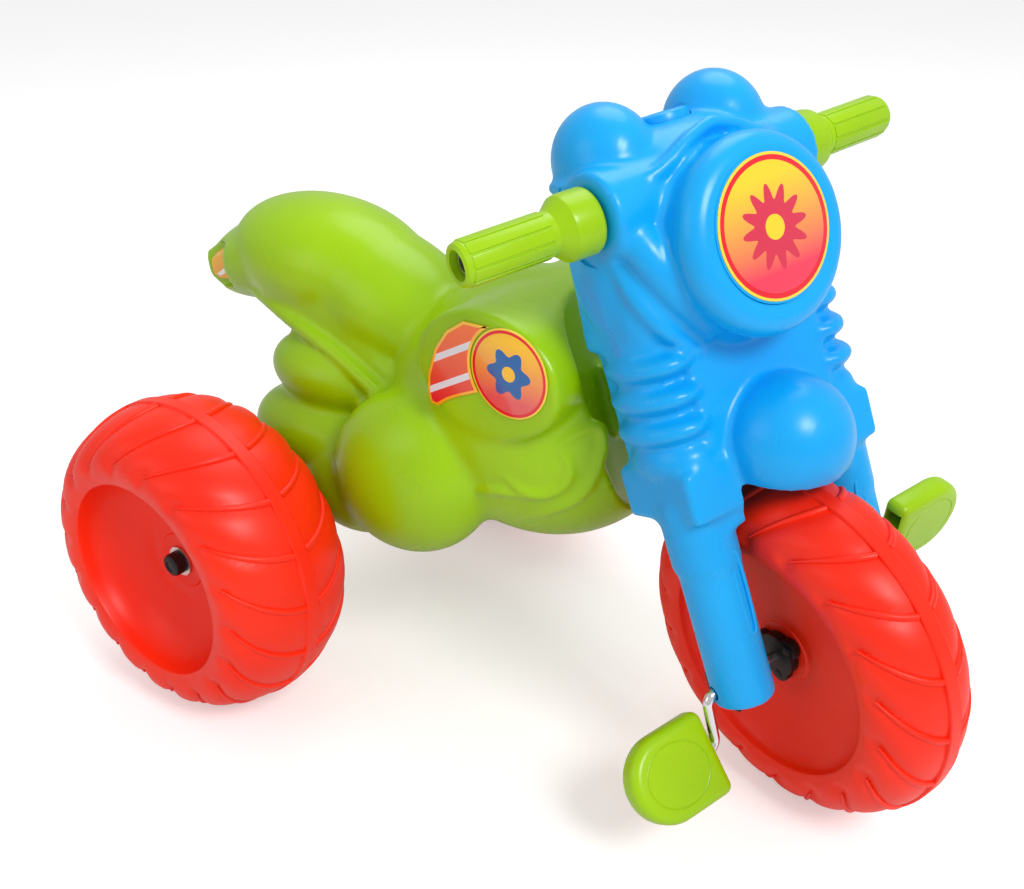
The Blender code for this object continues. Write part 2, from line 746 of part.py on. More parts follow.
def build_rear(root):
    """Axle through the housing; spacer, wheel, washer and cap on each end."""
    steel = material("zinc_steel", STEEL, 0.35, 1.0)
    black = material("black_plastic", BLACK, 0.45)
    hub_in = HALF_TRACK - HUB_HALF_WIDTH
    hub_out = HALF_TRACK + HUB_HALF_WIDTH
    cap_in = hub_out + WASHER_LENGTH + 2 * GAP
    tip = cap_in + CAP_LENGTH - 0.003
    axle_at = (WHEELBASE, REAR_AXLE_HEIGHT)
    rod_object("rear_axle", root, (-tip, *axle_at), (tip, *axle_at), REAR_AXLE_RADIUS, steel, SMALL_SIDES)
    bore = REAR_AXLE_RADIUS + GAP
    housing_end = HOUSING_HALF_WIDTH - 0.001
    for side, name in ((-1, "right"), (1, "left")):
        def along(low, high):
            return sorted((side * low, side * high))

        line = (0, *axle_at)
        low, high = along(housing_end + GAP, hub_in - GAP)
        sleeve("rear_spacer_" + name, root, line, bore, CAP_RADIUS, low, high, black, SMALL_SIDES)
        low, high = along(hub_out + GAP, hub_out + GAP + WASHER_LENGTH)
        sleeve("rear_washer_" + name, root, line, bore, AXLE_WASHER_RADIUS, low, high, steel, SMALL_SIDES)
        cap = turned(
            [
                (side * (cap_in + CAP_LENGTH), 0.0),
                (side * (cap_in + CAP_LENGTH), CAP_RADIUS - 0.002),
                (side * (cap_in + CAP_LENGTH - 0.002), CAP_RADIUS),
                (side * cap_in, CAP_RADIUS),
                (side * cap_in, bore),
                (side * (tip + GAP), bore),
                (side * (tip + GAP), 0.0),
            ],
            SMALL_SIDES,
            closed=False,
        )
        place("rear_cap_" + name, cap, root, black, line)
        hub = empty("rear_hub_" + name, root, (side * HALF_TRACK, *axle_at))
        build_wheel("rear_wheel_" + name, hub, REAR_WHEEL_RADIUS, REAR_HALF_WIDTH, REAR_RIM_RADIUS)


# ---------------------------------------------------------------- crank and pedals

def crank_arm():
    """How far out the arm turns, clear of the leg beside it."""
    return CRANK_OUT + CRANK_RADIUS + 2 * RUNNING_GAP


def crank_path():
    """Half of the bent axle: out through the leg, down the arm, out through the pedal."""
    arm = crank_arm()
    points = [Vector((0, 0, 0))]
    for step in range(6):
        angle = math.radians(90 * step / 5)
        x = arm - CRANK_BEND + CRANK_BEND * math.sin(angle)
        points.append(Vector((x, 0, CRANK_BEND * (math.cos(angle) - 1))))
    for step in range(6):
        angle = math.radians(90 * step / 5)
        x = arm + CRANK_BEND * (1 - math.cos(angle))
        points.append(Vector((x, 0, -CRANK_THROW + CRANK_BEND * (1 - math.sin(angle)))))
    points.append(Vector((arm + PEDAL_LENGTH - 0.008, 0, -CRANK_THROW)))
    return points


def build_crank(axle):
    """One steel rod, the same bent half on both sides, turned half a turn apart."""
    half = crank_path()
    right = [Vector((-p.x, 0, p.z)) for p in half]
    left = [Vector((p.x, 0, -p.z)) for p in half[1:]]
    route = list(reversed(right)) + left
    curve = bpy.data.curves.new("crank_axle", "CURVE")
    curve.dimensions = "3D"
    curve.bevel_depth = CRANK_RADIUS
    curve.bevel_resolution = 3
    curve.use_fill_caps = True
    spline = curve.splines.new("POLY")
    spline.points.add(len(route) - 1)
    for point, place_at in zip(spline.points, route):
        point.co = (*place_at, 1.0)
    curve.materials.append(material("chrome_steel", STEEL, 0.12, 1.0))
    crank = bpy.data.objects.new("crank_axle", curve)
    bpy.context.scene.collection.objects.link(crank)
    crank.parent = axle
    return crank


def build_pedals(axle):
    """D-shaped plates, square at the crank and round outside, each free on its spindle."""
    bore = CRANK_RADIUS + RUNNING_GAP
    start = crank_arm() + CRANK_RADIUS + 2 * RUNNING_GAP
    half = PEDAL_WIDTH / 2
    for side, name, turn in ((-1, "right", PEDAL_TURN_RIGHT), (1, "left", PEDAL_TURN_LEFT)):
        centre = (0, 0, side * CRANK_THROW)
        holder = empty("spindle_" + name, axle, centre, (turn - CRANK_ANGLE_AT_REST, 0, 0))
        outline = [(0.0, -half), (PEDAL_LENGTH - half, -half)]
        for step in range(1, 12):
            angle = math.radians(-90 + 180 * step / 12)
            outline.append((PEDAL_LENGTH - half + half * math.cos(angle), half * math.sin(angle)))
        outline.append((PEDAL_LENGTH - half, half))
        outline.append((0.0, half))
        form = bmesh.new()
        y = PEDAL_THICKNESS / 2
        verts = [form.verts.new((side * (start + x), y, z)) for x, z in outline]
        face = form.faces.new(verts)
        made = bmesh.ops.extrude_face_region(form, geom=[face])
        moved = [item for item in made["geom"] if isinstance(item, bmesh.types.BMVert)]
        bmesh.ops.translate(form, verts=moved, vec=(0, -PEDAL_THICKNESS, 0))
        bmesh.ops.recalc_face_normals(form, faces=form.faces)
        pedal = place("pedal_" + name, form, holder, material("lime_plastic", LIME, 0.35))
        soften = pedal.modifiers.new("Soft edges", "BEVEL")
        soften.width = 0.003
        soften.segments = 2
        soften.limit_method = "ANGLE"
        low, high = sorted((side * (start - 0.01), side * (start + PEDAL_LENGTH - 0.006)))
        spindle_way = rod_object(
            "pedal_bore_" + name, holder, (low, 0, 0), (high, 0, 0), bore, sides=SMALL_SIDES
        )
        cut(pedal, spindle_way)


def build_front(axle):
    wheel = build_wheel("front_wheel", axle, FRONT_WHEEL_RADIUS, FRONT_HALF_WIDTH, FRONT_RIM_RADIUS)
    build_crank(axle)
    black = material("black_plastic", BLACK, 0.45)
    bore = CRANK_RADIUS + GAP
    for side, name in ((-1, "right"), (1, "left")):
        outer = HUB_HALF_WIDTH + GAP
        end = outer + FLANGE_LENGTH
        low, high = sorted((side * outer, side * end))
        profile = [(low, bore), (low, FLANGE_RADIUS), (high, FLANGE_RADIUS), (high, bore)]
        form = turned(profile, SMALL_SIDES)
        place("hub_flange_" + name, form, axle, black)
    return wheel


def centre_over_origin(root):
    """Slide the tricycle along Y until the middle of its bounding box is over the origin."""
    bpy.context.view_layer.update()
    depsgraph = bpy.context.evaluated_depsgraph_get()
    along = []
    for thing in bpy.context.scene.objects:
        if thing.type == "EMPTY" or thing.hide_render:
            continue
        seen = thing.evaluated_get(depsgraph)
        mesh = seen.to_mesh()
        along += [(seen.matrix_world @ vertex.co).y for vertex in mesh.vertices]
        seen.to_mesh_clear()
    root.location.y = -(min(along) + max(along)) / 2


def main():
    clear_scene()
    root = empty("tricycle", None)
    axis_point = (
        0,
        AXLE_LEAD * math.cos(RAKE),
        FRONT_AXLE_HEIGHT - AXLE_LEAD * math.sin(RAKE),
    )
    head = empty("head", root, axis_point, (-RAKE, 0, 0))
    steering = empty("steering", head, (0, 0, 0), (0, 0, STEER_AT_REST))
    front_axle = empty("front_axle", steering, (0, -AXLE_LEAD, 0), (CRANK_ANGLE_AT_REST, 0, 0))
    build_body(root, head)
    build_side_stickers(root)
    build_tail_stickers(root)
    build_fork(steering)
    build_clips(steering)
    build_steering(steering)
    build_handlebar(steering)
    build_front(front_axle)
    build_pedals(front_axle)
    build_rear(root)
    centre_over_origin(root)


main()
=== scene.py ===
import bpy
import json
import math
from mathutils import Matrix, Vector


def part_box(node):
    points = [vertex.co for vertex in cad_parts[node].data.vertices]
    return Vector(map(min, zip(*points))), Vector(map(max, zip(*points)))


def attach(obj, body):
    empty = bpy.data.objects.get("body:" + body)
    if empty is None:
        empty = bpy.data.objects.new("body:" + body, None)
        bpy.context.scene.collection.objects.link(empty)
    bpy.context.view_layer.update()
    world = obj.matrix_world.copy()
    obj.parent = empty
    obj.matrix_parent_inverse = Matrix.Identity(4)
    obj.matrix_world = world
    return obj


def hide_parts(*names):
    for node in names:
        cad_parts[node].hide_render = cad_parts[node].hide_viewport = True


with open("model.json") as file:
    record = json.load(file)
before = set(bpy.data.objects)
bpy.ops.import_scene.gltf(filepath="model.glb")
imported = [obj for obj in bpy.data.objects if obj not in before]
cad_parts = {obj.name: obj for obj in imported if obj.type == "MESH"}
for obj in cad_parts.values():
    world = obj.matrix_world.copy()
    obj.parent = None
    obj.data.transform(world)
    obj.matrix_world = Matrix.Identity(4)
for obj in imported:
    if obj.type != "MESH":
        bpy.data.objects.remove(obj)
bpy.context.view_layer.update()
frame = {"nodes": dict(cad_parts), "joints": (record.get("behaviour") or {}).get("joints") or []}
nodes = frame["nodes"]
joints = {joint["name"]: joint for joint in frame["joints"]}
scene = bpy.context.scene


def dropSelection():
    if bpy.context.object and bpy.context.object.mode != "OBJECT":
        bpy.ops.object.mode_set(mode="OBJECT")
    bpy.ops.object.select_all(action="DESELECT")


def pick(*pieces):
    dropSelection()
    for piece in pieces:
        piece.select_set(True)
    bpy.context.view_layer.objects.active = pieces[0]


def applyModifiers(piece):
    pick(piece)
    for modifier in list(piece.modifiers):
        bpy.ops.object.modifier_apply(modifier=modifier.name)


def joined(name, pieces):
    pick(*pieces)
    if len(pieces) > 1:
        bpy.ops.object.join()
    piece = bpy.context.object
    piece.name = name
    bpy.ops.object.transform_apply(location=True, rotation=True, scale=True)
    return piece


# One rounded solid: half sizes along its own axes, turned about X, then leaned about Y.
def lump(shape, centre, half, turn=0.0, lean=0.0):
    dropSelection()
    place = {"location": centre, "rotation": (turn, lean, 0)}
    if shape == "ball":
        bpy.ops.mesh.primitive_uv_sphere_add(segments=64, ring_count=40, radius=1, **place)
    elif shape == "block":
        bpy.ops.mesh.primitive_cube_add(size=2, **place)
    else:
        bpy.ops.mesh.primitive_cylinder_add(vertices=96, radius=1, depth=2, **place)
    piece = bpy.context.object
    if shape == "drum":
        piece.rotation_euler = (turn, math.pi / 2 + lean, 0)
        half = (half[2], half[1], half[0])
    piece.scale = half
    bpy.ops.object.transform_apply(location=True, rotation=True, scale=True)
    return piece


# Every part, and its mirror image where its centre is off the middle plane.
def lumps(parts):
    made = []
    for part in parts:
        shape, centre, half = part[:3]
        turn = part[3] if len(part) > 3 else 0.0
        lean = part[4] if len(part) > 4 else 0.0
        made.append(lump(shape, centre, half, turn, lean))
        if centre[0] > 0:
            mirrored = (-centre[0], centre[1], centre[2])
            made.append(lump(shape, mirrored, half, turn, -lean))
    return made


# A tube through points, as wide as radii say at each of them.
def strand(points, radii, closed=False):
    dropSelection()
    bpy.ops.curve.primitive_bezier_curve_add()
    cord = bpy.context.object
    cord.data.splines.clear()
    spline = cord.data.splines.new("NURBS")
    spline.points.add(len(points) - 1)
    for place, point, radius in zip(spline.points, points, radii):
        place.co = (*point, 1.0)
        place.radius = radius
    spline.order_u = 3
    spline.use_endpoint_u = not closed
    spline.use_cyclic_u = closed
    spline.resolution_u = 10
    cord.data.bevel_depth = 1.0
    cord.data.bevel_resolution = 4
    cord.data.use_fill_caps = True
    bpy.ops.object.convert(target="MESH")
    return bpy.context.object


# A strand on the left and its mirror image on the right.
def bothSides(points, radii):
    right = [(-x, y, z) for x, y, z in points]
    return [strand(points, radii), strand(right, radii)]


# Join overlapping solids into one skin with soft creases.
def melt(name, pieces, voxel, rounds):
    piece = joined(name, pieces)
    skin = piece.modifiers.new("Skin", "REMESH")
    skin.mode = "VOXEL"
    skin.voxel_size = voxel
    soften = piece.modifiers.new("Soften", "SMOOTH")
    soften.factor = 0.5
    soften.iterations = rounds
    applyModifiers(piece)
    return piece


def carve(piece, cutters):
    for cutter in cutters:
        boolean = piece.modifiers.new("Carve", "BOOLEAN")
        boolean.object = cutter
        applyModifiers(piece)
        bpy.data.objects.remove(cutter)
    return piece


def copied(piece, name):
    twin = piece.copy()
    twin.data = piece.data.copy()
    twin.name = name
    scene.collection.objects.link(twin)
    return twin


# The piece and its copies, evenly turned about the X axis.
def aroundX(piece, count):
    made = [piece] + [copied(piece, piece.name) for index in range(count - 1)]
    for index, twin in enumerate(made):
        twin.data.transform(Matrix.Rotation(math.tau * index / count, 4, "X"))
    return made


# Turn an (x, radius) profile once around the X axis, in edit mode.
def spun(name, profile, steps):
    mesh = bpy.data.meshes.new(name)
    edges = [(i, i + 1) for i in range(len(profile) - 1)]
    mesh.from_pydata([(x, 0, radius) for x, radius in profile], edges, [])
    piece = bpy.data.objects.new(name, mesh)
    scene.collection.objects.link(piece)
    pick(piece)
    bpy.ops.object.mode_set(mode="EDIT")
    bpy.ops.mesh.select_all(action="SELECT")
    bpy.ops.mesh.spin(steps=steps, angle=math.tau, center=(0, 0, 0), axis=(1, 0, 0))
    bpy.ops.mesh.select_all(action="SELECT")
    bpy.ops.mesh.remove_doubles(threshold=0.00002)
    bpy.ops.mesh.normals_make_consistent(inside=False)
    bpy.ops.object.mode_set(mode="OBJECT")
    return piece


# Move a piece from its own frame into the tricycle's, give it its finish and its body.
def finished(piece, place, body, finish, replaced, sharp=35):
    piece.data.transform(place)
    piece.matrix_world = Matrix.Identity(4)
    pick(piece)
    bpy.ops.object.mode_set(mode="EDIT")
    bpy.ops.mesh.select_all(action="SELECT")
    bpy.ops.mesh.normals_make_consistent(inside=False)
    bpy.ops.object.mode_set(mode="OBJECT")
    bpy.ops.object.shade_smooth_by_angle(angle=math.radians(sharp))
    spots = [face.material_index for face in piece.data.polygons]
    piece.data.materials.clear()
    for material in finish if isinstance(finish, list) else [finish]:
        piece.data.materials.append(material)
    piece.data.polygons.foreach_set("material_index", spots)
    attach(piece, body)
    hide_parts(*replaced)
    return piece


# The fork's own frame: X along the front axle, Z up the steering axis, -Y forward.
def jointAxes():
    up = Vector(joints["steering"]["axis"]).normalized()
    across = Vector(joints["front_wheel_spin"]["axis"]).normalized()
    if across.x < 0:
        across = -across
    back = up.cross(across)
    centre = Vector(joints["front_wheel_spin"]["pos_m"])
    onAxis = Vector(joints["steering"]["pos_m"])
    foot = onAxis + up * (centre - onAxis).dot(up)
    turn = Matrix((across, back, up)).transposed().to_4x4()
    return Matrix.Translation(foot) @ turn, (centre - foot).dot(back)


forkPlace, axleAt = jointAxes()
lowAxle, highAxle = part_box("rear_axle")
wheelbase = 0.399
rearCentre = (lowAxle + highAxle) / 2
bodyPlace = Matrix.Translation((0, rearCentre.y - wheelbase, 0))
rearHeight = rearCentre.z
headTurn = math.radians(18.0)
headPlace = forkPlace @ Matrix.Rotation(headTurn, 4, "Z")
wheelPlace = Matrix.Translation(Vector(joints["front_wheel_spin"]["pos_m"])) @ forkPlace.to_3x3().to_4x4()


def newMaterial(name):
    finish = bpy.data.materials.new(name)
    finish.use_nodes = True
    return finish, finish.node_tree, finish.node_tree.nodes["Principled BSDF"]


def colourLinear(red, green, blue):
    def linear(value):
        value = value / 255
        return value / 12.92 if value <= 0.04045 else ((value + 0.055) / 1.055) ** 2.4
    return (linear(red), linear(green), linear(blue), 1.0)


# Wires another node in, or types a value in.
def feed(tree, spot, value):
    if isinstance(value, bpy.types.NodeSocket):
        tree.links.new(value, spot)
    else:
        spot.default_value = value


def objectPlace(tree):
    return tree.nodes.new("ShaderNodeTexCoord").outputs["Object"]


def stretched(tree, place, scale, turn=(0, 0, 0)):
    mapping = tree.nodes.new("ShaderNodeMapping")
    mapping.inputs["Rotation"].default_value = turn
    mapping.inputs["Scale"].default_value = scale
    tree.links.new(place, mapping.inputs["Vector"])
    return mapping.outputs["Vector"]


def noise(tree, place, scale, detail=2.0):
    cloud = tree.nodes.new("ShaderNodeTexNoise")
    cloud.inputs["Scale"].default_value = scale
    cloud.inputs["Detail"].default_value = detail
    tree.links.new(place, cloud.inputs["Vector"])
    return cloud.outputs["Fac"]


def spread(tree, value, low, high, fromLow=0.0, fromHigh=1.0):
    mapped = tree.nodes.new("ShaderNodeMapRange")
    mapped.inputs["From Min"].default_value = fromLow
    mapped.inputs["From Max"].default_value = fromHigh
    mapped.inputs["To Min"].default_value = low
    mapped.inputs["To Max"].default_value = high
    tree.links.new(value, mapped.inputs["Value"])
    return mapped.outputs["Result"]


# Two colours along a value; a hard ramp jumps from one to the other.
def ramp(tree, value, stops, hard=False):
    colours = tree.nodes.new("ShaderNodeValToRGB")
    if hard:
        colours.color_ramp.interpolation = "CONSTANT"
    for stop, (position, colour) in zip(colours.color_ramp.elements, stops):
        stop.position = position
        stop.color = colour
    tree.links.new(value, colours.inputs["Fac"])
    return colours.outputs["Color"]


def blended(tree, share, first, second, kind="RGBA"):
    mix = tree.nodes.new("ShaderNodeMix")
    mix.data_type = kind
    feed(tree, mix.inputs["Factor"], share)
    feed(tree, mix.inputs["A"], first)
    feed(tree, mix.inputs["B"], second)
    return mix.outputs["Result"]


def worked(tree, operation, *values):
    step = tree.nodes.new("ShaderNodeMath")
    step.operation = operation
    for spot, value in zip(step.inputs, values):
        feed(tree, spot, value)
    return step.outputs["Value"]


def relief(tree, shader, height, strength, depth):
    bump = tree.nodes.new("ShaderNodeBump")
    bump.inputs["Strength"].default_value = strength
    bump.inputs["Distance"].default_value = depth
    tree.links.new(height, bump.inputs["Height"])
    tree.links.new(bump.outputs["Normal"], shader.inputs["Normal"])


# colour, the deeper colour of its faint clouds, roughness
paints = {
    "lime plastic": ((160, 206, 0), (146, 192, 0), 0.27),
    "sky blue plastic": ((14, 172, 244), (8, 163, 236), 0.27),
    "orange red plastic": ((254, 44, 2), (246, 34, 0), 0.38),
    "black plastic": ((26, 26, 28), (16, 16, 18), 0.4),
}
mould = {
    "specular": 0.36,
    "grain": 0.05,
    "grainDepth": 0.0006,
    "cloudScale": 9.0,
    "rubScale": 38.0,
    "poreScale": 900.0,
    "scratchShare": 0.35,
    "scratchStretch": (14.0, 260.0, 60.0),
    "scratchTurn": (0.5, 0.3, 0.7),
    "duller": 0.09,
    "shinier": 0.05,
}
drawn = {
    "stretch": (40.0, 900.0, 900.0),
    "duller": 0.14,
    "depth": 0.0002,
}


# Moulded plastic: faint cloudy colour, mould grain, wiped and dull patches, a few fine scratches.
def plastic(name, colour, deeper, roughness):
    finish, tree, shader = newMaterial(name)
    place = objectPlace(tree)
    cloud = noise(tree, place, mould["cloudScale"], 3.0)
    tint = ramp(tree, cloud, [(0.32, colourLinear(*deeper)), (0.68, colourLinear(*colour))])
    tree.links.new(tint, shader.inputs["Base Color"])
    rub = noise(tree, place, mould["rubScale"], 5.0)
    sheen = spread(tree, rub, roughness - mould["shinier"], roughness + mould["duller"])
    tree.links.new(sheen, shader.inputs["Roughness"])
    scratch = noise(tree, stretched(tree, place, mould["scratchStretch"], mould["scratchTurn"]), 1.0)
    pores = noise(tree, place, mould["poreScale"])
    height = blended(tree, mould["scratchShare"], pores, scratch, "FLOAT")
    relief(tree, shader, height, mould["grain"], mould["grainDepth"])
    shader.inputs["Specular IOR Level"].default_value = mould["specular"]
    return finish


# Steel with fine drawing lines and faint clouding.
def steel(name, colour, roughness, brushed):
    finish, tree, shader = newMaterial(name)
    shader.inputs["Base Color"].default_value = colour
    shader.inputs["Metallic"].default_value = 1.0
    lines = noise(tree, stretched(tree, objectPlace(tree), drawn["stretch"]), 1.0)
    sheen = spread(tree, lines, roughness, roughness + drawn["duller"])
    tree.links.new(sheen, shader.inputs["Roughness"])
    relief(tree, shader, lines, brushed, drawn["depth"])
    return finish


limePlastic, bluePlastic, redPlastic, blackPlastic = [plastic(name, *look) for name, look in paints.items()]
chrome = steel("chrome", (0.82, 0.82, 0.83, 1), 0.06, 0.02)
zinc = steel("zinc plate", (0.66, 0.66, 0.64, 1), 0.28, 0.08)
print("materials done")


camera = {
    "at": Vector((-0.62862, -0.45907, 0.60474)),
    "yaw": 0.91241,
    "pitch": -0.48546,
    "lens": 42.857,
}


def buildCamera():
    yaw = camera["yaw"]
    pitch = camera["pitch"]
    ahead = Vector((math.sin(yaw) * math.cos(pitch), math.cos(yaw) * math.cos(pitch), math.sin(pitch)))
    across = Vector((math.cos(yaw), -math.sin(yaw), 0))
    up = across.cross(ahead)
    turn = Matrix((across, up, -ahead)).transposed()
    bpy.ops.object.camera_add(location=camera["at"], rotation=turn.to_euler())
    eye = bpy.context.object
    eye.data.lens = camera["lens"]
    eye.data.clip_start = 0.01
    scene.camera = eye


studio = {
    "floorSize": 60.0,
    "floorGlow": 0.42,
    "floorDark": (0.78, 0.78, 0.78, 1),
    "floorLight": (0.80, 0.80, 0.80, 1),
    "skyStrength": 0.56,
    "aim": (0, 0, 0.2),
    "key": ((-0.7, -1.9, 2.1), 0.9, 40.0),
    "fill": ((-2.2, 1.0, 1.4), 1.6, 6.0),
    "top": ((0.9, 0.4, 2.2), 1.6, 16.0),
}


# A round soft light, given by its place, its size and its power.
def softbox(name):
    place, size, power = studio[name]
    bpy.ops.object.light_add(type="AREA", location=place)
    box = bpy.context.object
    box.name = name + " light"
    box.data.shape = "DISK"
    box.data.size = size
    box.data.energy = power
    aim = Vector(studio["aim"]) - Vector(place)
    box.rotation_euler = aim.to_track_quat("-Z", "Y").to_euler()
    return box


def buildStudio():
    dropSelection()
    bpy.ops.mesh.primitive_plane_add(size=studio["floorSize"], location=(0, 0, 0))
    floor = bpy.context.object
    floor.name = "floor"
    finish, tree, shader = newMaterial("floor paper")
    shader.inputs["Roughness"].default_value = 0.9
    shader.inputs["Specular IOR Level"].default_value = 0.1
    shader.inputs["Emission Color"].default_value = (1, 1, 1, 1)
    sight = tree.nodes.new("ShaderNodeLightPath").outputs["Is Camera Ray"]
    glow = worked(tree, "MULTIPLY", sight, studio["floorGlow"])
    tree.links.new(glow, shader.inputs["Emission Strength"])
    fibre = noise(tree, objectPlace(tree), 3.0)
    tint = ramp(tree, fibre, [(0.0, studio["floorDark"]), (1.0, studio["floorLight"])])
    tree.links.new(tint, shader.inputs["Base Color"])
    floor.data.materials.append(finish)
    softbox("key")
    softbox("fill")
    softbox("top")
    world = scene.world or bpy.data.worlds.new("studio")
    scene.world = world
    world.use_nodes = True
    sky = world.node_tree.nodes["Background"]
    sky.inputs["Color"].default_value = (1, 1, 1, 1)
    sky.inputs["Strength"].default_value = studio["skyStrength"]
    scene.view_settings.view_transform = "Standard"


buildCamera()
buildStudio()
print("studio done")


body = {
    "voxel": 0.0032,
    "seatTop": 0.340,
    "tankTop": 0.327,
    "tankHalf": 0.088,
    "housingHalf": 0.108,
    "housingRadius": 0.026,
    "swingRadius": 0.088,
    "railRadius": 0.0062,
    "strokeRadius": 0.0042,
    "neckHalf": 0.0155,
    "neckLow": 0.1541,
    "neckHigh": 0.2019,
    "pinBore": 0.0058,
    "axleBore": 0.0054,
    "eyeRadius": 0.0208,
    "tailDroop": math.radians(-18),
    "creaseRounds": 11,
}
tailPlace = Matrix.Translation((0, wheelbase + 0.117, body["seatTop"] - 0.065))
tailPlace = tailPlace @ Matrix.Rotation(body["tailDroop"], 4, "X")


# Centre and half sizes of the two balls that make the tank.
def tankBalls():
    middle = wheelbase - 0.187
    tank = body["tankTop"] - 0.096
    wide = body["tankHalf"]
    return [
        ((0, middle, tank), (wide - 0.002, 0.106, 0.096)),
        ((0, middle + 0.025, tank - 0.008), (wide - 0.010, 0.098, 0.085)),
    ]


# The tank, the saddle with its pointed tail, the folds under it and the haunches.
def bodyLumps():
    rear = wheelbase
    seat = body["seatTop"] - 0.048
    tank = body["tankTop"] - 0.096
    middle = rear - 0.187
    wide = body["tankHalf"]
    housing = (body["housingHalf"], body["housingRadius"], body["housingRadius"])
    balls = [("ball", centre, half) for centre, half in tankBalls()]
    return lumps(balls + [
        ("drum", (0, middle - 0.015, tank + 0.053), (wide - 0.001, 0.058, 0.043)),
        ("ball", (0, rear - 0.045, seat - 0.018), (0.053, 0.088, 0.048), 0.35),
        ("ball", (0, rear - 0.020, seat - 0.022), (0.053, 0.088, 0.040), 0.30),
        ("block", (0, rear - 0.026, seat - 0.037), (0.0530, 0.072, 0.0100), 0.36),
        ("ball", (0, rear + 0.018, seat), (0.058, 0.092, 0.048), 0.05),
        ("ball", (0, rear + 0.058, seat - 0.002), (0.050, 0.096, 0.036), -0.33),
        ("block", (0, rear + 0.122, seat - 0.019), (0.0255, 0.020, 0.0125), -0.3),
        ("block", (0, rear - 0.025, rearHeight + 0.090), (0.050, 0.045, 0.055)),
        ("ball", (0.036, rear - 0.018, rearHeight + 0.104), (0.040, 0.060, 0.030)),
        ("ball", (0.042, rear - 0.014, rearHeight + 0.056), (0.049, 0.070, 0.034)),
        ("ball", (0.068, rear - 0.121, rearHeight + 0.063), (0.043, 0.071, 0.061), -0.55),
        ("ball", (0.062, rear - 0.064, rearHeight + 0.034), (0.038, 0.052, 0.040)),
        ("drum", (0, rear, rearHeight), housing),
    ])


# How far out the side of the tank is at this place.
def tankSide(y, z):
    reach = 0.0
    for centre, half in tankBalls():
        left = 1 - ((y - centre[1]) / half[1]) ** 2 - ((z - centre[2]) / half[2]) ** 2
        reach = max(reach, half[0] * math.sqrt(max(0.0, left)))
    return reach


# The bar along the edge of the saddle, and the raised strokes on the belly.
def bodyStrands():
    rear = wheelbase
    rail = body["railRadius"]
    edge = [
        (0.027, rear + 0.098, 0.266),
        (0.044, rear + 0.054, 0.268),
        (0.0545, rear + 0.006, 0.259),
        (0.0575, rear - 0.041, 0.246),
        (0.0590, rear - 0.085, 0.2250),
    ]
    made = bothSides(edge, [rail * 0.6, rail * 0.9, rail, rail, rail])
    made += lumps([("ball", (0.059, rear - 0.086, 0.2245), (rail * 1.04, rail * 1.1, rail * 1.04))])
    belly = [
        [
            (0.1523, 0.2418), (0.1405, 0.2535), (0.1317, 0.2574), (0.1273, 0.2417),
            (0.1354, 0.2098), (0.1529, 0.1928), (0.1750, 0.1793),
        ],
        [
            (0.1840, 0.2139), (0.1740, 0.2030), (0.1594, 0.2041),
            (0.1469, 0.2139), (0.1420, 0.2289), (0.1496, 0.2400),
        ],
        [(0.2250, 0.1900), (0.2050, 0.1960), (0.1850, 0.2030), (0.1700, 0.1990)],
    ]
    for stroke in belly:
        points = [(tankSide(y, z) - 0.0006, y, z) for y, z in stroke]
        middle = [body["strokeRadius"]] * (len(stroke) - 2)
        made += bothSides(points, [0.0016] + middle + [0.0016])
    return made


def buildBody():
    skin = melt("body", bodyLumps(), body["voxel"], body["creaseRounds"])
    headToBody = bodyPlace.inverted() @ forkPlace
    swing = lump("tube", (0, 0, 0.22), (body["swingRadius"], body["swingRadius"], 0.3))
    swing.data.transform(headToBody)
    neckReach = body["swingRadius"] + 0.020
    carve(skin, [swing])
    middle = (body["neckLow"] + body["neckHigh"]) / 2
    height = (body["neckHigh"] - body["neckLow"]) / 2
    neckTurn = bodyPlace.inverted() @ headPlace
    tongue = lump("block", (0, neckReach / 2, middle), (body["neckHalf"], neckReach / 2, height))
    eye = lump("tube", (0, 0, middle), (body["eyeRadius"], body["eyeRadius"], height))
    eye.data.transform(neckTurn)
    tongue.data.transform(neckTurn)
    tails = []
    for side in (-1, 1):
        tail = lump("block", (side * 0.0538, -0.0005, -0.0015), (0.030, 0.0220, 0.0170))
        tail.data.transform(tailPlace)
        tails.append(tail)
    carve(skin, tails)
    skin = melt("body", [skin, tongue, eye] + bodyStrands(), body["voxel"] * 0.75, 2)
    bore = lump("tube", (0, 0, middle), (body["pinBore"], body["pinBore"], 0.06))
    bore.data.transform(neckTurn)
    axleBore = lump("drum", (0, wheelbase, rearHeight), (0.2, body["axleBore"], body["axleBore"]))
    end = body["housingHalf"] - 0.001
    faces = [
        lump("block", (side * (end + 0.02), wheelbase, rearHeight), (0.02, 0.04, 0.04))
        for side in (-1, 1)
    ]
    pads = [
        lump("drum", (side * (body["tankHalf"] + 0.0093), 0.182, 0.292), (0.010, 0.075, 0.040))
        for side in (-1, 1)
    ]
    carve(skin, [bore, axleBore] + faces + pads)
    return finished(skin, bodyPlace, "chassis", limePlastic, ["body_shell"], 40)


buildBody()
print("body done")


fork = {
    "voxel": 0.0023,
    "top": 0.343,
    "crownHalf": 0.083,
    "crownLow": 0.1325,
    "archRadius": 0.1325,
    "innerLeg": 0.0401,
    "legRadius": 0.0195,
    "legForward": 0.0125,
    "hoodHeight": 0.268,
    "hoodRadius": 0.058,
    "hoodFace": 0.0725,
    "discRadius": 0.0425,
    "barHeight": 0.3037,
    "barForward": 0.0195,
    "barSweep": 0.0555,
    "gripStart": 0.079,
    "ringPitch": 0.0195,
    "rearFace": 0.026,
    "pocketLow": 0.152,
    "pocketHigh": 0.204,
    "pocketHalf": 0.046,
}


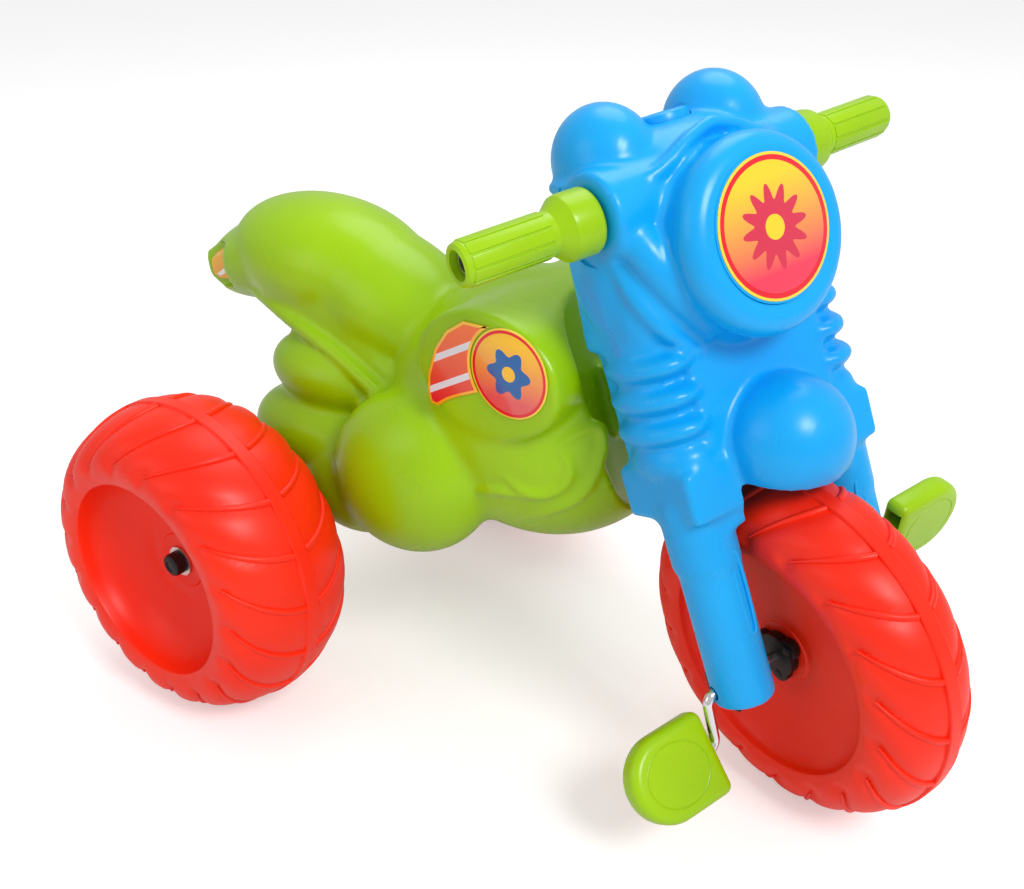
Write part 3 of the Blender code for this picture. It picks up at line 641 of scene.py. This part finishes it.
# Stem, bar bosses, domes, hood, mudguard hump, crown and legs.
def forkLumps():
    legAt = fork["innerLeg"] + fork["legRadius"]
    hood = fork["hoodHeight"]
    radius = fork["hoodRadius"]
    leg = fork["legRadius"]
    boss = (fork["gripStart"] - 0.001, 0.0265, 0.0265)
    return lumps([
        ("block", (0, -0.009, 0.198), (0.052, 0.026, 0.094)),
        ("block", (0, fork["rearFace"] - 0.016, 0.225), (0.072, 0.0145, 0.083)),
        ("block", (0.066, 0.006, 0.262), (0.012, 0.016, 0.040), 0.15),
        ("block", (0, -0.004, fork["crownLow"]), (fork["crownHalf"] - 0.005, 0.0335, 0.0165)),
        ("ball", (0, -0.0410, 0.1440), (0.0410, 0.0405, 0.0400)),
        ("ball", (0.068, 0.000, 0.262), (0.0130, 0.024, 0.048)),
        ("ball", (0.060, -0.012, 0.244), (0.0180, 0.020, 0.036)),
        ("tube", (0, -0.036, hood), (radius - 0.002, radius - 0.002, fork["hoodFace"] - 0.0400), math.pi / 2),
        ("ball", (0, -0.022, hood), (radius + 0.002, 0.046, radius + 0.004)),
        ("block", (0, -0.002, fork["top"] - 0.042), (0.052, 0.026, 0.032)),
        ("ball", (0, -0.006, fork["top"] - 0.026), (0.062, 0.036, 0.026)),
        ("ball", (0.0430, 0.005, fork["top"] - 0.013), (0.0300, 0.034, 0.034)),
        ("drum", (0, -0.016, fork["barHeight"]), boss),
        ("tube", (legAt, -fork["legForward"], 0.060), (leg, leg + 0.001, 0.070)),
        ("tube", (legAt, -fork["legForward"] + 0.001, 0.104), (leg + 0.0015, leg + 0.003, 0.022)),
    ])


# The fat rounded rim of the hood.
def hoodRim():
    dropSelection()
    place = (0, -fork["hoodFace"] + 0.0125, fork["hoodHeight"])
    bpy.ops.mesh.primitive_torus_add(
        location=place,
        rotation=(math.pi / 2, 0, 0),
        major_radius=fork["hoodRadius"] - 0.0125,
        minor_radius=0.0130,
        major_segments=96,
        minor_segments=32,
    )
    return bpy.context.object


# Three fat rings and a rounded foot on each side of the stem.
def shockRings():
    made = []
    for step in range(3):
        height = 0.212 - step * fork["ringPitch"]
        wide = 0.0235 + 0.0012 * step
        made.append(("ball", (0.0600, -0.007, height), (wide, 0.0330, 0.0104)))
        made.append(("tube", (0.0600, -0.007, height), (wide - 0.0035, 0.0290, 0.0058)))
    made.append(("ball", (0.0600, -0.007, 0.154), (0.0225, 0.0300, 0.0145)))
    made.append(("tube", (0.0600, -0.006, 0.190), (0.0180, 0.0225, 0.046)))
    return lumps(made)


# Fairing folds that run from the bar bosses down towards the middle, and the lips under the domes.
def forkStrands():
    fold = [
        (0.064, -0.022, 0.303),
        (0.062, -0.033, 0.284),
        (0.057, -0.039, 0.264),
        (0.048, -0.041, 0.242),
        (0.034, -0.039, 0.219),
    ]
    innerFold = [
        (0.070, -0.010, 0.290),
        (0.071, -0.022, 0.268),
        (0.068, -0.030, 0.246),
        (0.058, -0.035, 0.226),
        (0.042, -0.035, 0.212),
    ]
    flank = [(0.070, 0.016, 0.296), (0.073, 0.012, 0.268), (0.072, 0.004, 0.240), (0.068, -0.002, 0.222)]
    lip = [
        (0.072, 0.022, 0.324),
        (0.077, 0.002, 0.322),
        (0.068, -0.024, 0.318),
        (0.048, -0.037, 0.3155),
        (0.033, -0.041, 0.321),
        (0.016, -0.042, 0.331),
        (0.0, -0.042, 0.335),
    ]
    made = bothSides(fold, [0.011, 0.0130, 0.0125, 0.0100, 0.0035])
    made += bothSides(innerFold, [0.005, 0.0075, 0.0070, 0.0058, 0.003])
    made += bothSides(flank, [0.006, 0.009, 0.009, 0.006])
    made += bothSides(lip, [0.004, 0.0048, 0.0048, 0.0048, 0.0048, 0.0045, 0.0045])
    return made


# A long raised loop on the front of each leg.
def legRelief():
    legAt = fork["innerLeg"] + fork["legRadius"]
    front = -fork["legForward"] - fork["legRadius"]
    made = []
    for side in (-1, 1):
        x = side * (legAt - 0.005)
        half = 0.0032
        loop = [
            (x - half, front - 0.0002, 0.040),
            (x - half, front, 0.088),
            (x, front, 0.093),
            (x + half, front, 0.088),
            (x + half, front - 0.0002, 0.040),
            (x, front, 0.035),
        ]
        made.append(strand(loop, [0.0012] * 6, closed=True))
    return made


# Room for the bar, and the flat round seat of the grip's collar.
def barSocket(side):
    turn = Matrix.Translation((0, -fork["barForward"], fork["barHeight"]))
    turn = turn @ Matrix.Rotation(side * math.atan(fork["barSweep"]), 4, "Z")
    bore = lump("drum", (side * 0.125, 0, 0), (0.125, 0.0078, 0.0078))
    seat = lump("drum", (side * (fork["gripStart"] + 0.02), 0, 0), (0.02, 0.0285, 0.0285))
    for cutter in (bore, seat):
        cutter.data.transform(turn)
    return [bore, seat]


def buildFork():
    parts = forkLumps() + [hoodRim()] + shockRings() + forkStrands()
    skin = melt("fork", parts, fork["voxel"], 3)
    arch = lump("drum", (0, axleAt, 0), (fork["innerLeg"], fork["archRadius"], fork["archRadius"]))
    pocketMiddle = (fork["pocketLow"] + fork["pocketHigh"]) / 2
    pocketHeight = (fork["pocketHigh"] - fork["pocketLow"]) / 2
    pocket = lump("block", (0, 0.0285, pocketMiddle), (fork["pocketHalf"], 0.0515, pocketHeight))
    face = -fork["hoodFace"]
    disc = fork["discRadius"]
    recess = lump("tube", (0, face, fork["hoodHeight"] + 0.003), (disc, disc, 0.0004), math.pi / 2)
    trim = lump("block", (0, face - 0.02, fork["hoodHeight"] + 0.02), (0.1, 0.02, 0.075))
    carve(skin, [arch, pocket, trim])
    skin = melt("fork", [skin], fork["voxel"] * 0.85, 1)
    bores = [lump("tube", (0, 0, 0.25), (0.0054, 0.0054, 0.11))]
    bores.append(lump("tube", (0, 0, fork["top"] + 0.017), (0.0186, 0.0186, 0.020)))
    for side in (-1, 1):
        bores += barSocket(side)
        x = side * (fork["innerLeg"] + fork["legRadius"])
        bores.append(lump("block", (x, axleAt, -0.001), (0.0139, 0.0133, 0.0123)))
        bores.append(lump("drum", (x, axleAt, 0), (0.03, 0.0048, 0.0048)))
        bores.append(lump("block", (side * 0.0405, -0.030, 0.060), (0.0012, 0.012, 0.006)))
        bores.append(lump("block", (side * 0.0405, -0.030, 0.028), (0.0012, 0.012, 0.006)))
    carve(skin, bores + [recess])
    skin = joined("fork", [skin] + legRelief())
    return finished(skin, forkPlace, "fork", bluePlastic, ["fork_shell"], 40)


buildFork()
print("fork done")


wheels = {
    "steps": 180,
    "ribs": 18,
    "ribSweep": math.radians(19),
    "ribRadius": 0.0026,
    "ribEnd": math.radians(72),
    "sweepEnd": math.radians(74),
    "bandHalf": 0.0052,
    "bandHeight": 0.0014,
    "scallop": 0.0044,
    "hubRadius": 0.026,
    "hubHalf": 0.018,
    "bore": 0.0056,
    "drop": 0.0332,
    "front": (0.120, 0.0376, 0.079),
    "rear": (0.118, 0.0546, 0.0742),
}


# A point of the tyre's section; the angle is 0 at the middle of the tread, 90 degrees at the side.
def tyrePoint(radius, halfWidth, angle):
    widest = radius - wheels["drop"]
    x = halfWidth * math.sin(angle)
    return x, widest + (radius - wheels["bandHeight"] - widest) * math.cos(angle)


# How far round the wheel a rib has swept by this place on the section.
def ribTurn(angle):
    share = max(0.0, min(1.0, angle / wheels["sweepEnd"]))
    return wheels["ribSweep"] * share ** 1.7


def wheelHalf(radius, halfWidth, rim):
    band = wheels["bandHalf"]
    profile = [(0.0, radius), (band - 0.0008, radius), (band, radius - 0.0006)]
    start = math.asin(band / halfWidth) + 0.01
    steps = 16
    for step in range(steps + 1):
        angle = start + (math.pi / 2 - start) * step / steps
        profile.append(tyrePoint(radius, halfWidth, angle))
    side = halfWidth - 0.0012
    profile += [(side + 0.0006, rim + 0.0045), (side, rim + 0.0030), (side - 0.0002, rim + 0.0012)]
    profile += [(side - 0.0010, rim), (side - 0.0030, rim - 0.0006)]
    deep = wheels["hubHalf"]
    for step in range(1, 13):
        angle = math.pi / 2 * step / 12
        reach = rim - 0.0006 - wheels["hubRadius"]
        x = deep + (side - 0.0030 - deep) * (1 - math.sin(angle))
        profile.append((x, wheels["hubRadius"] + reach * math.cos(angle) ** 0.9))
    profile += [(deep - 0.0008, wheels["hubRadius"] - 0.002), (deep - 0.0008, 0.0215), (deep, 0.0205)]
    profile += [(deep, wheels["bore"] + 0.001), (deep - 0.001, wheels["bore"])]
    return profile


def scallopDepth(angle):
    return wheels["scallop"] * (0.30 + 0.70 * math.sin(angle) ** 2)


# Sink the tyre between ribs so that each panel swells like a pillow.
def scallop(piece, radius, halfWidth):
    pitch = math.tau / wheels["ribs"]
    widest = radius - wheels["drop"]
    for vertex in piece.data.vertices:
        x, y, z = vertex.co
        far = math.hypot(y, z)
        if abs(x) <= wheels["bandHalf"] + 0.0001 or far < widest - 0.004:
            continue
        angle = math.asin(min(1.0, abs(x) / halfWidth))
        around = math.atan2(z, -y) - ribTurn(angle)
        share = (around / pitch) % 1.0
        pillow = 1 - abs(2 * share - 1) ** 3
        edge = min(1.0, max(0.0, (far - widest + 0.004) / 0.010))
        sink = scallopDepth(angle) * edge * (1 - pillow)
        vertex.co.y -= y / far * sink
        vertex.co.z -= z / far * sink
        vertex.co.x -= math.copysign(sink * math.sin(angle) * 0.6, x)


def ribs(radius, halfWidth):
    made = []
    first = math.asin(wheels["bandHalf"] / halfWidth)
    last = wheels["ribEnd"]
    count = 9
    for side in (-1, 1):
        points = []
        radii = []
        for step in range(count):
            share = step / (count - 1)
            angle = first + (last - first) * share
            x, far = tyrePoint(radius, halfWidth, angle)
            far -= scallopDepth(angle) * 0.85
            around = ribTurn(angle)
            points.append((side * x * 0.995, -far * math.cos(around), far * math.sin(around)))
            radii.append(wheels["ribRadius"] * (1.0 - 0.75 * share ** 2))
        rib = strand(points, radii)
        made += aroundX(rib, wheels["ribs"])
    return made


# Radius, half width and rim radius come from the wheel's own row.
def shapeWheel(name, radius, halfWidth, rim):
    half = wheelHalf(radius, halfWidth, rim)
    profile = [(-x, r) for x, r in reversed(half[1:])] + half
    profile.append(profile[0])
    wheel = spun(name, profile, wheels["steps"])
    scallop(wheel, radius, halfWidth)
    return joined(name, [wheel] + ribs(radius, halfWidth))


def buildWheels():
    front = shapeWheel("front_tyre", *wheels["front"])
    finished(front, wheelPlace, "front_wheel", redPlastic, ["front_wheel"], 32)
    right = shapeWheel("rear_tyre_right", *wheels["rear"])
    left = copied(right, "rear_tyre_left")
    for wheel, name in ((right, "rear_wheel_right"), (left, "rear_wheel_left")):
        low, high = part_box(name)
        hub = Matrix.Translation(((low.x + high.x) / 2, rearCentre.y, rearCentre.z))
        finished(wheel, hub, name, redPlastic, [name], 32)


buildWheels()
print("wheels done")


grips = {
    "start": fork["gripStart"],
    "length": 0.0865,
    "radius": 0.0130,
    "collarRadius": 0.0195,
    "collarLength": 0.026,
    "panels": 10,
    "panelRise": 0.0010,
    "hole": 0.0086,
}


def buildGrip(side, name):
    start = grips["start"]
    end = start + grips["length"]
    collar = start + grips["collarLength"]
    radius = grips["radius"]
    wide = grips["collarRadius"]
    profile = [
        (start, grips["hole"]),
        (start, wide - 0.0025),
        (start + 0.0008, wide - 0.0008),
        (start + 0.0025, wide),
        (collar - 0.0095, wide),
        (collar - 0.0070, wide - 0.0005),
        (collar - 0.0012, radius + 0.0014),
        (collar + 0.0010, radius),
        (end - 0.0035, radius),
        (end - 0.0012, radius - 0.0008),
        (end, radius - 0.0026),
        (end, grips["hole"] + 0.0012),
        (end - 0.0010, grips["hole"]),
        (start, grips["hole"]),
    ]
    grip = spun("hand_grip_" + name, [(side * x, r) for x, r in profile], 80)
    middle = (collar + end) / 2
    half = (end - collar) / 2 - 0.0045
    width = math.pi * radius / grips["panels"] * 0.86
    strip = lump("block", (side * middle, 0, radius - 0.0006), (half, width, grips["panelRise"]))
    bevel = strip.modifiers.new("Round", "BEVEL")
    bevel.width = 0.0005
    bevel.segments = 3
    applyModifiers(strip)
    strip.data.transform(Matrix.Rotation(math.pi / grips["panels"], 4, "X"))
    strips = aroundX(strip, grips["panels"])
    grip = joined("hand_grip_" + name, [grip] + strips)
    place = forkPlace @ Matrix.Translation((0, -fork["barForward"], fork["barHeight"]))
    place = place @ Matrix.Rotation(side * math.atan(fork["barSweep"]), 4, "Z")
    return finished(grip, place, "fork", limePlastic, ["grip_" + name], 18)


buildGrip(-1, "right")
buildGrip(1, "left")
print("grips done")


crank = {
    "radius": 0.0035,
    "throw": 0.0355,
    "bend": 0.0065,
    "arm": 0.0843,
    "atRest": math.radians(7),
    "pedalLength": 0.065,
    "pedalWidth": 0.056,
    "pedalThickness": 0.018,
    "turnRight": math.radians(-18),
    "turnLeft": math.radians(31),
}
crankPlace = forkPlace @ Matrix.Translation((0, axleAt, 0)) @ Matrix.Rotation(crank["atRest"], 4, "X")


def buildCrank():
    arm = crank["arm"]
    bend = crank["bend"]
    half = [Vector((0, 0, 0))]
    for step in range(13):
        angle = math.pi / 2 * step / 12
        half.append(Vector((arm - bend + bend * math.sin(angle), 0, bend * (math.cos(angle) - 1))))
    for step in range(13):
        angle = math.pi / 2 * step / 12
        drop = bend * (1 - math.sin(angle)) - crank["throw"]
        half.append(Vector((arm + bend * (1 - math.cos(angle)), 0, drop)))
    half.append(Vector((arm + crank["pedalLength"] - 0.008, 0, -crank["throw"])))
    right = [Vector((-p.x, 0, p.z)) for p in half]
    left = [Vector((p.x, 0, -p.z)) for p in half[1:]]
    route = list(reversed(right)) + left
    rod = strand(route, [crank["radius"]] * len(route))
    rod.name = "crank_rod"
    return finished(rod, crankPlace, "front_wheel", chrome, ["crank_axle"])


hubPlate = {
    "thickness": 0.0034,
    "radius": 0.0150,
    "bossRadius": 0.0085,
    "lugs": 3,
    "lugAt": 0.0125,
    "lugRadius": 0.0072,
    "screwRadius": 0.0030,
}


# A black hub plate with round lugs and their screw heads.
def buildFlange(side, name):
    near = wheels["hubHalf"] + 0.0003
    thick = hubPlate["thickness"]
    bits = []
    for proud, radius in ((0.0, hubPlate["radius"]), (0.0002, hubPlate["bossRadius"])):
        bits.append(lump("drum", (side * (near + thick + proud), 0, 0), (thick, radius, radius)))
    lug = hubPlate["lugRadius"]
    screw = hubPlate["screwRadius"]
    for index in range(hubPlate["lugs"]):
        angle = math.tau * index / hubPlate["lugs"] + 0.5
        y = hubPlate["lugAt"] * math.cos(angle)
        z = hubPlate["lugAt"] * math.sin(angle)
        bits.append(lump("drum", (side * (near + thick - 0.0006), y, z), (thick - 0.0006, lug, lug)))
        bits.append(lump("drum", (side * (near + thick), y * 1.1, z * 1.1), (thick + 0.0004, screw, screw)))
    plate = joined("hub_plate_" + name, bits)
    bevel = plate.modifiers.new("Round", "BEVEL")
    bevel.width = 0.0005
    bevel.segments = 2
    bevel.limit_method = "ANGLE"
    applyModifiers(plate)
    return finished(plate, crankPlace, "front_wheel", blackPlastic, ["hub_flange_" + name])


# The black bearing block in the foot of a leg, with thin ribs across it.
def buildClip(side, name):
    x = side * (fork["innerLeg"] + fork["legRadius"])
    bits = [lump("block", (x, axleAt, -0.0015), (0.0124, 0.0112, 0.0105))]
    for index in range(5):
        across = x + (index - 2) * 0.0058
        bits.append(lump("block", (across, axleAt, -0.0020), (0.0010, 0.0128, 0.0110)))
    bits.append(lump("block", (x, axleAt, -0.0060), (0.0134, 0.0128, 0.0012)))
    clip = joined("bearing_clip_" + name, bits)
    bevel = clip.modifiers.new("Round", "BEVEL")
    bevel.width = 0.0003
    bevel.segments = 2
    applyModifiers(clip)
    return finished(clip, forkPlace, "fork", blackPlastic, ["axle_clip_" + name])


# A D-shaped pedal with soft edges, a fine oval line on each face and an open inner end.
def buildPedal(side, name, turn):
    start = crank["arm"] + crank["radius"] + 0.0012
    half = crank["pedalWidth"] / 2
    length = crank["pedalLength"]
    thick = crank["pedalThickness"] / 2
    outline = [(0.0, -half), ((length - half) / 2, -half)]
    for step in range(0, 25):
        angle = math.radians(-90 + 180 * step / 24)
        outline.append((length - half + half * math.cos(angle), half * math.sin(angle)))
    outline += [((length - half) / 2, half), (0.0, half)]
    mesh = bpy.data.meshes.new("pedal_block_" + name)
    mesh.from_pydata([(side * (start + x), thick, z) for x, z in outline], [], [range(len(outline))])
    pedal = bpy.data.objects.new("pedal_block_" + name, mesh)
    scene.collection.objects.link(pedal)
    pick(pedal)
    bpy.ops.object.mode_set(mode="EDIT")
    bpy.ops.mesh.select_all(action="SELECT")
    bpy.ops.mesh.extrude_region_move(TRANSFORM_OT_translate={"value": (0, -2 * thick, 0)})
    bpy.ops.mesh.select_all(action="SELECT")
    bpy.ops.mesh.normals_make_consistent(inside=False)
    bpy.ops.object.mode_set(mode="OBJECT")
    bevel = pedal.modifiers.new("Soft edges", "BEVEL")
    bevel.width = 0.0062
    bevel.segments = 6
    bevel.limit_method = "ANGLE"
    bevel.angle_limit = math.radians(50)
    applyModifiers(pedal)
    middle = side * (start + 0.50 * length)
    rings = []
    for face in (-1, 1):
        dropSelection()
        bpy.ops.mesh.primitive_torus_add(
            location=(middle, face * thick, 0),
            rotation=(math.pi / 2, 0, 0),
            major_radius=0.0195,
            minor_radius=0.0005,
            major_segments=72,
            minor_segments=8,
        )
        ring = bpy.context.object
        ring.scale = (1.18, 1.0, 1.0)
        bpy.ops.object.transform_apply(location=True, rotation=True, scale=True)
        rings.append(ring)
    slots = [
        lump("block", (side * (start + 0.008), 0, height), (0.013, thick - 0.0028, 0.0062))
        for height in (-0.0150, 0.0150)
    ]
    bore = lump("drum", (side * (start + 0.02), 0, 0), (0.031, 0.0041, 0.0041))
    carve(pedal, rings + slots + [bore])
    place = crankPlace @ Matrix.Translation((0, 0, side * crank["throw"]))
    place = place @ Matrix.Rotation(turn - crank["atRest"], 4, "X")
    return finished(pedal, place, "pedal_" + name, limePlastic, ["pedal_" + name], 30)


buildCrank()
for side, name in ((-1, "right"), (1, "left")):
    buildFlange(side, name)
    buildClip(side, name)
buildPedal(-1, "right", crank["turnRight"])
buildPedal(1, "left", crank["turnLeft"])
print("crank and pedals done")


topCap = {
    "low": 0.3403,
    "crown": 0.3483,
    "radius": 0.0178,
    "dish": 0.0112,
}


def buildSteeringCap():
    low = topCap["low"]
    crown = topCap["crown"]
    outer = topCap["radius"]
    dish = topCap["dish"]
    profile = [
        (low, 0.0), (low, outer - 0.0006), (low + 0.0006, outer), (crown - 0.0040, outer),
        (crown - 0.0022, outer - 0.0006), (crown - 0.0012, outer - 0.0020), (crown - 0.0010, dish + 0.0008),
        (crown - 0.0016, dish), (crown - 0.0016, 0.0),
    ]
    cap = spun("top_cap", profile, 72)
    cap.data.transform(Matrix.Rotation(-math.pi / 2, 4, "Y"))
    return finished(cap, forkPlace, "fork", bluePlastic, ["steering_cap"])


def buildRearCap(side, name):
    low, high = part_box("rear_cap_" + name)
    near, far = (high.x, low.x) if side < 0 else (low.x, high.x)
    outer = (high.z - low.z) / 2
    profile = [
        (near, 0.0052), (near, outer - 0.0005), (near + side * 0.0006, outer),
        (far - side * 0.0030, outer), (far - side * 0.0012, outer - 0.0008),
        (far - side * 0.0002, outer - 0.0026), (far, outer - 0.0045),
        (far - side * 0.0008, outer - 0.0050), (far - side * 0.0008, 0.0),
    ]
    cap = spun("push_cap_" + name, profile, 64)
    place = Matrix.Translation((0, rearCentre.y, rearCentre.z))
    return finished(cap, place, "chassis", blackPlastic, ["rear_cap_" + name])


buildSteeringCap()
buildRearCap(-1, "right")
buildRearCap(1, "left")
print("caps done")


films = {
    "thickness": 0.0008,
    "headlight": 0.0412,
    "side": 0.0298,
    "border": 0.0017,
    "discGap": 0.0014,
    "roughness": 0.18,
    "coat": 0.5,
    "rippleScale": 160.0,
    "ripple": 0.06,
    "badge": 0.24,
    "heart": 0.085,
    "ring": 0.445,
    "edge": 0.480,
    "slant": 0.45,
    "stripe": 0.24,
}


def newFilm(name):
    finish, tree, shader = newMaterial(name)
    shader.inputs["Roughness"].default_value = films["roughness"]
    shader.inputs["Coat Weight"].default_value = films["coat"]
    ripple = noise(tree, objectPlace(tree), films["rippleScale"])
    relief(tree, shader, ripple, films["ripple"], 0.0005)
    where = tree.nodes.new("ShaderNodeUVMap")
    where.uv_map = "film"
    return finish, tree, shader, where.outputs["UV"]


def apart(tree, vector):
    parts = tree.nodes.new("ShaderNodeSeparateXYZ")
    tree.links.new(vector, parts.inputs["Vector"])
    return parts.outputs["X"], parts.outputs["Y"]


# Round print: a bright edge, a thin ring, a warm fade and a plain badge of rays in the middle.
def ringFilm(name, warm, hot, badge, rays, lobes):
    finish, tree, shader, where = newFilm(name)
    centred = tree.nodes.new("ShaderNodeVectorMath")
    centred.operation = "SUBTRACT"
    centred.inputs[1].default_value = (0.5, 0.5, 0.0)
    tree.links.new(where, centred.inputs[0])
    length = tree.nodes.new("ShaderNodeVectorMath")
    length.operation = "LENGTH"
    tree.links.new(centred.outputs["Vector"], length.inputs[0])
    distance = length.outputs["Value"]
    x, y = apart(tree, centred.outputs["Vector"])
    fade = spread(tree, y, 0.0, 1.0, -0.30, 0.34)
    ground = ramp(tree, fade, [(0.0, hot), (1.0, warm)])
    spokes = worked(tree, "MULTIPLY", worked(tree, "ARCTAN2", y, x), rays)
    reach = worked(tree, "MULTIPLY_ADD", worked(tree, "COSINE", spokes), lobes, films["badge"])
    inside = worked(tree, "LESS_THAN", distance, reach)
    star = blended(tree, inside, ground, badge)
    heart = ramp(tree, distance, [(0.0, (1, 1, 1, 1)), (films["heart"], (0, 0, 0, 1))], True)
    middle = blended(tree, heart, star, warm)
    outer = ramp(tree, distance, [(0.0, (0, 0, 0, 1)), (films["ring"], (1, 1, 1, 1))], True)
    rimColours = [(0.0, colourLinear(232, 20, 40)), (films["edge"], colourLinear(255, 214, 60))]
    edged = blended(tree, outer, middle, ramp(tree, distance, rimColours, True))
    tree.links.new(edged, shader.inputs["Base Color"])
    return finish


# A fade from one colour to another with slanting stripes over it.
def stripeFilm(name, top, bottom, stripe, count):
    finish, tree, shader, where = newFilm(name)
    x, y = apart(tree, where)
    fade = ramp(tree, y, [(0.0, colourLinear(*bottom)), (1.0, colourLinear(*top))])
    slant = worked(tree, "MULTIPLY_ADD", x, films["slant"], y)
    share = worked(tree, "FRACT", worked(tree, "MULTIPLY", slant, count))
    band = worked(tree, "GREATER_THAN", share, 1 - films["stripe"])
    printed = blended(tree, band, fade, colourLinear(*stripe))
    tree.links.new(printed, shader.inputs["Base Color"])
    return finish


# A thin film in its own plane, with its print coordinates from its outline and a plain border.
def filmSheet(name, outline, thickness, border=0.0):
    lowX = min(x for x, y in outline)
    highX = max(x for x, y in outline)
    lowY = min(y for x, y in outline)
    highY = max(y for x, y in outline)
    mesh = bpy.data.meshes.new(name)
    mesh.from_pydata([(x, y, 0) for x, y in outline], [], [range(len(outline))])
    piece = bpy.data.objects.new(name, mesh)
    scene.collection.objects.link(piece)
    pick(piece)
    bpy.ops.object.mode_set(mode="EDIT")
    bpy.ops.mesh.select_all(action="SELECT")
    bpy.ops.mesh.extrude_region_move(TRANSFORM_OT_translate={"value": (0, 0, thickness)})
    bpy.ops.mesh.select_all(action="SELECT")
    bpy.ops.mesh.normals_make_consistent(inside=False)
    bpy.ops.object.mode_set(mode="OBJECT")
    bevel = piece.modifiers.new("Edge", "BEVEL")
    bevel.width = thickness * 0.35
    bevel.segments = 2
    bevel.limit_method = "ANGLE"
    bevel.angle_limit = math.radians(60)
    applyModifiers(piece)
    if border:
        for face in piece.data.polygons:
            face.select = face.normal.z > 0.99 and face.area > thickness * thickness * 100
        bpy.ops.object.mode_set(mode="EDIT")
        bpy.ops.mesh.select_mode(type="FACE")
        bpy.ops.mesh.inset(thickness=border, depth=0.0)
        bpy.ops.object.mode_set(mode="OBJECT")
        for face in piece.data.polygons:
            face.material_index = 1 if face.select else 0
    layer = piece.data.uv_layers.new(name="film")
    for loop in piece.data.loops:
        x, y, z = piece.data.vertices[loop.vertex_index].co
        layer.data[loop.index].uv = ((x - lowX) / (highX - lowX), (y - lowY) / (highY - lowY))
    return piece


def arc(radius, start, end, step):
    turns = [math.radians(angle) for angle in range(start, end, step)]
    return [(radius * math.cos(turn), radius * math.sin(turn)) for turn in turns]


def circle(radius, count=96):
    turns = [math.tau * index / count for index in range(count)]
    return [(radius * math.cos(turn), radius * math.sin(turn)) for turn in turns]


headFilm = ringFilm(
    "headlight print",
    colourLinear(255, 208, 40),
    colourLinear(240, 60, 90),
    colourLinear(214, 44, 74),
    12,
    0.055,
)
discFilm = ringFilm(
    "side print",
    colourLinear(255, 196, 30),
    colourLinear(238, 92, 92),
    colourLinear(8, 96, 168),
    6,
    0.045,
)
flashFilm = stripeFilm("flash print", (252, 116, 34), (222, 10, 40), (226, 222, 226), 3.2)
edgeFilm = stripeFilm("film edge", (255, 196, 50), (250, 160, 20), (252, 186, 40), 3.0)
tailFilm = stripeFilm("tail print", (250, 196, 40), (240, 160, 20), (248, 246, 240), 1.6)


# Film plane to the side of the tank: the film's X runs back, its Y up, its Z outwards.
def sideTurn(side):
    return Matrix(((0, 0, side, 0), (1, 0, 0, 0), (0, 1, 0, 0), (0, 0, 0, 1)))


def buildFilms():
    disc = filmSheet("headlight_film", circle(films["headlight"]), films["thickness"])
    low = -fork["hoodFace"] - 0.0003
    turn = Matrix(((1, 0, 0, 0), (0, 0, -1, low), (0, 1, 0, fork["hoodHeight"] + 0.003), (0, 0, 0, 1)))
    finished(disc, forkPlace @ turn, "fork", headFilm, ["headlight_sticker"])
    flash = arc(films["side"] + films["discGap"], -38, 63, 5)
    flash += [(0.036, 0.0265), (0.050, 0.0165), (0.060, 0.002), (0.0665, -0.018), (0.0672, -0.030)]
    flash += [(0.065, -0.038), (0.059, -0.039), (0.050, -0.032), (0.040, -0.0265)]
    for side, name in ((-1, "right"), (1, "left")):
        low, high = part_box("side_disc_sticker_" + name)
        centre = (low + high) / 2
        near = high.x if side < 0 else low.x
        place = Matrix.Translation((near, centre.y, centre.z)) @ sideTurn(side)
        badge = filmSheet("side_film_" + name, circle(films["side"]), films["thickness"])
        finished(badge, place, "chassis", discFilm, ["side_disc_sticker_" + name])
        point = filmSheet("flash_film_" + name, flash, films["thickness"], films["border"])
        finished(point, place, "chassis", [edgeFilm, flashFilm], ["side_flash_sticker_" + name])
        outline = [(-0.020, -0.006), (-0.008, -0.0105), (0.004, -0.014), (0.013, -0.0125), (0.019, -0.008)]
        outline += [(0.0185, -0.001), (0.016, 0.004), (0.006, 0.0085), (-0.004, 0.011), (-0.013, 0.004)]
        tail = filmSheet("tail_film_" + name, outline, films["thickness"], films["border"])
        place = bodyPlace @ tailPlace @ Matrix.Translation((side * 0.0243, 0, 0)) @ sideTurn(side)
        finished(tail, place, "chassis", [edgeFilm, tailFilm], ["tail_sticker_" + name])


buildFilms()
print("films done")


# CAD pieces that stay in view; the spacers are black and the rest is zinc plated.
blackKept = ["rear_spacer_left", "rear_spacer_right"]
for name, node in nodes.items():
    if node.hide_render:
        continue
    finish, slotName = (blackPlastic, "black_plastic") if name in blackKept else (zinc, "zinc_steel")
    node.data.materials.clear()
    node.data.materials.append(finish)
print("kept pieces done")
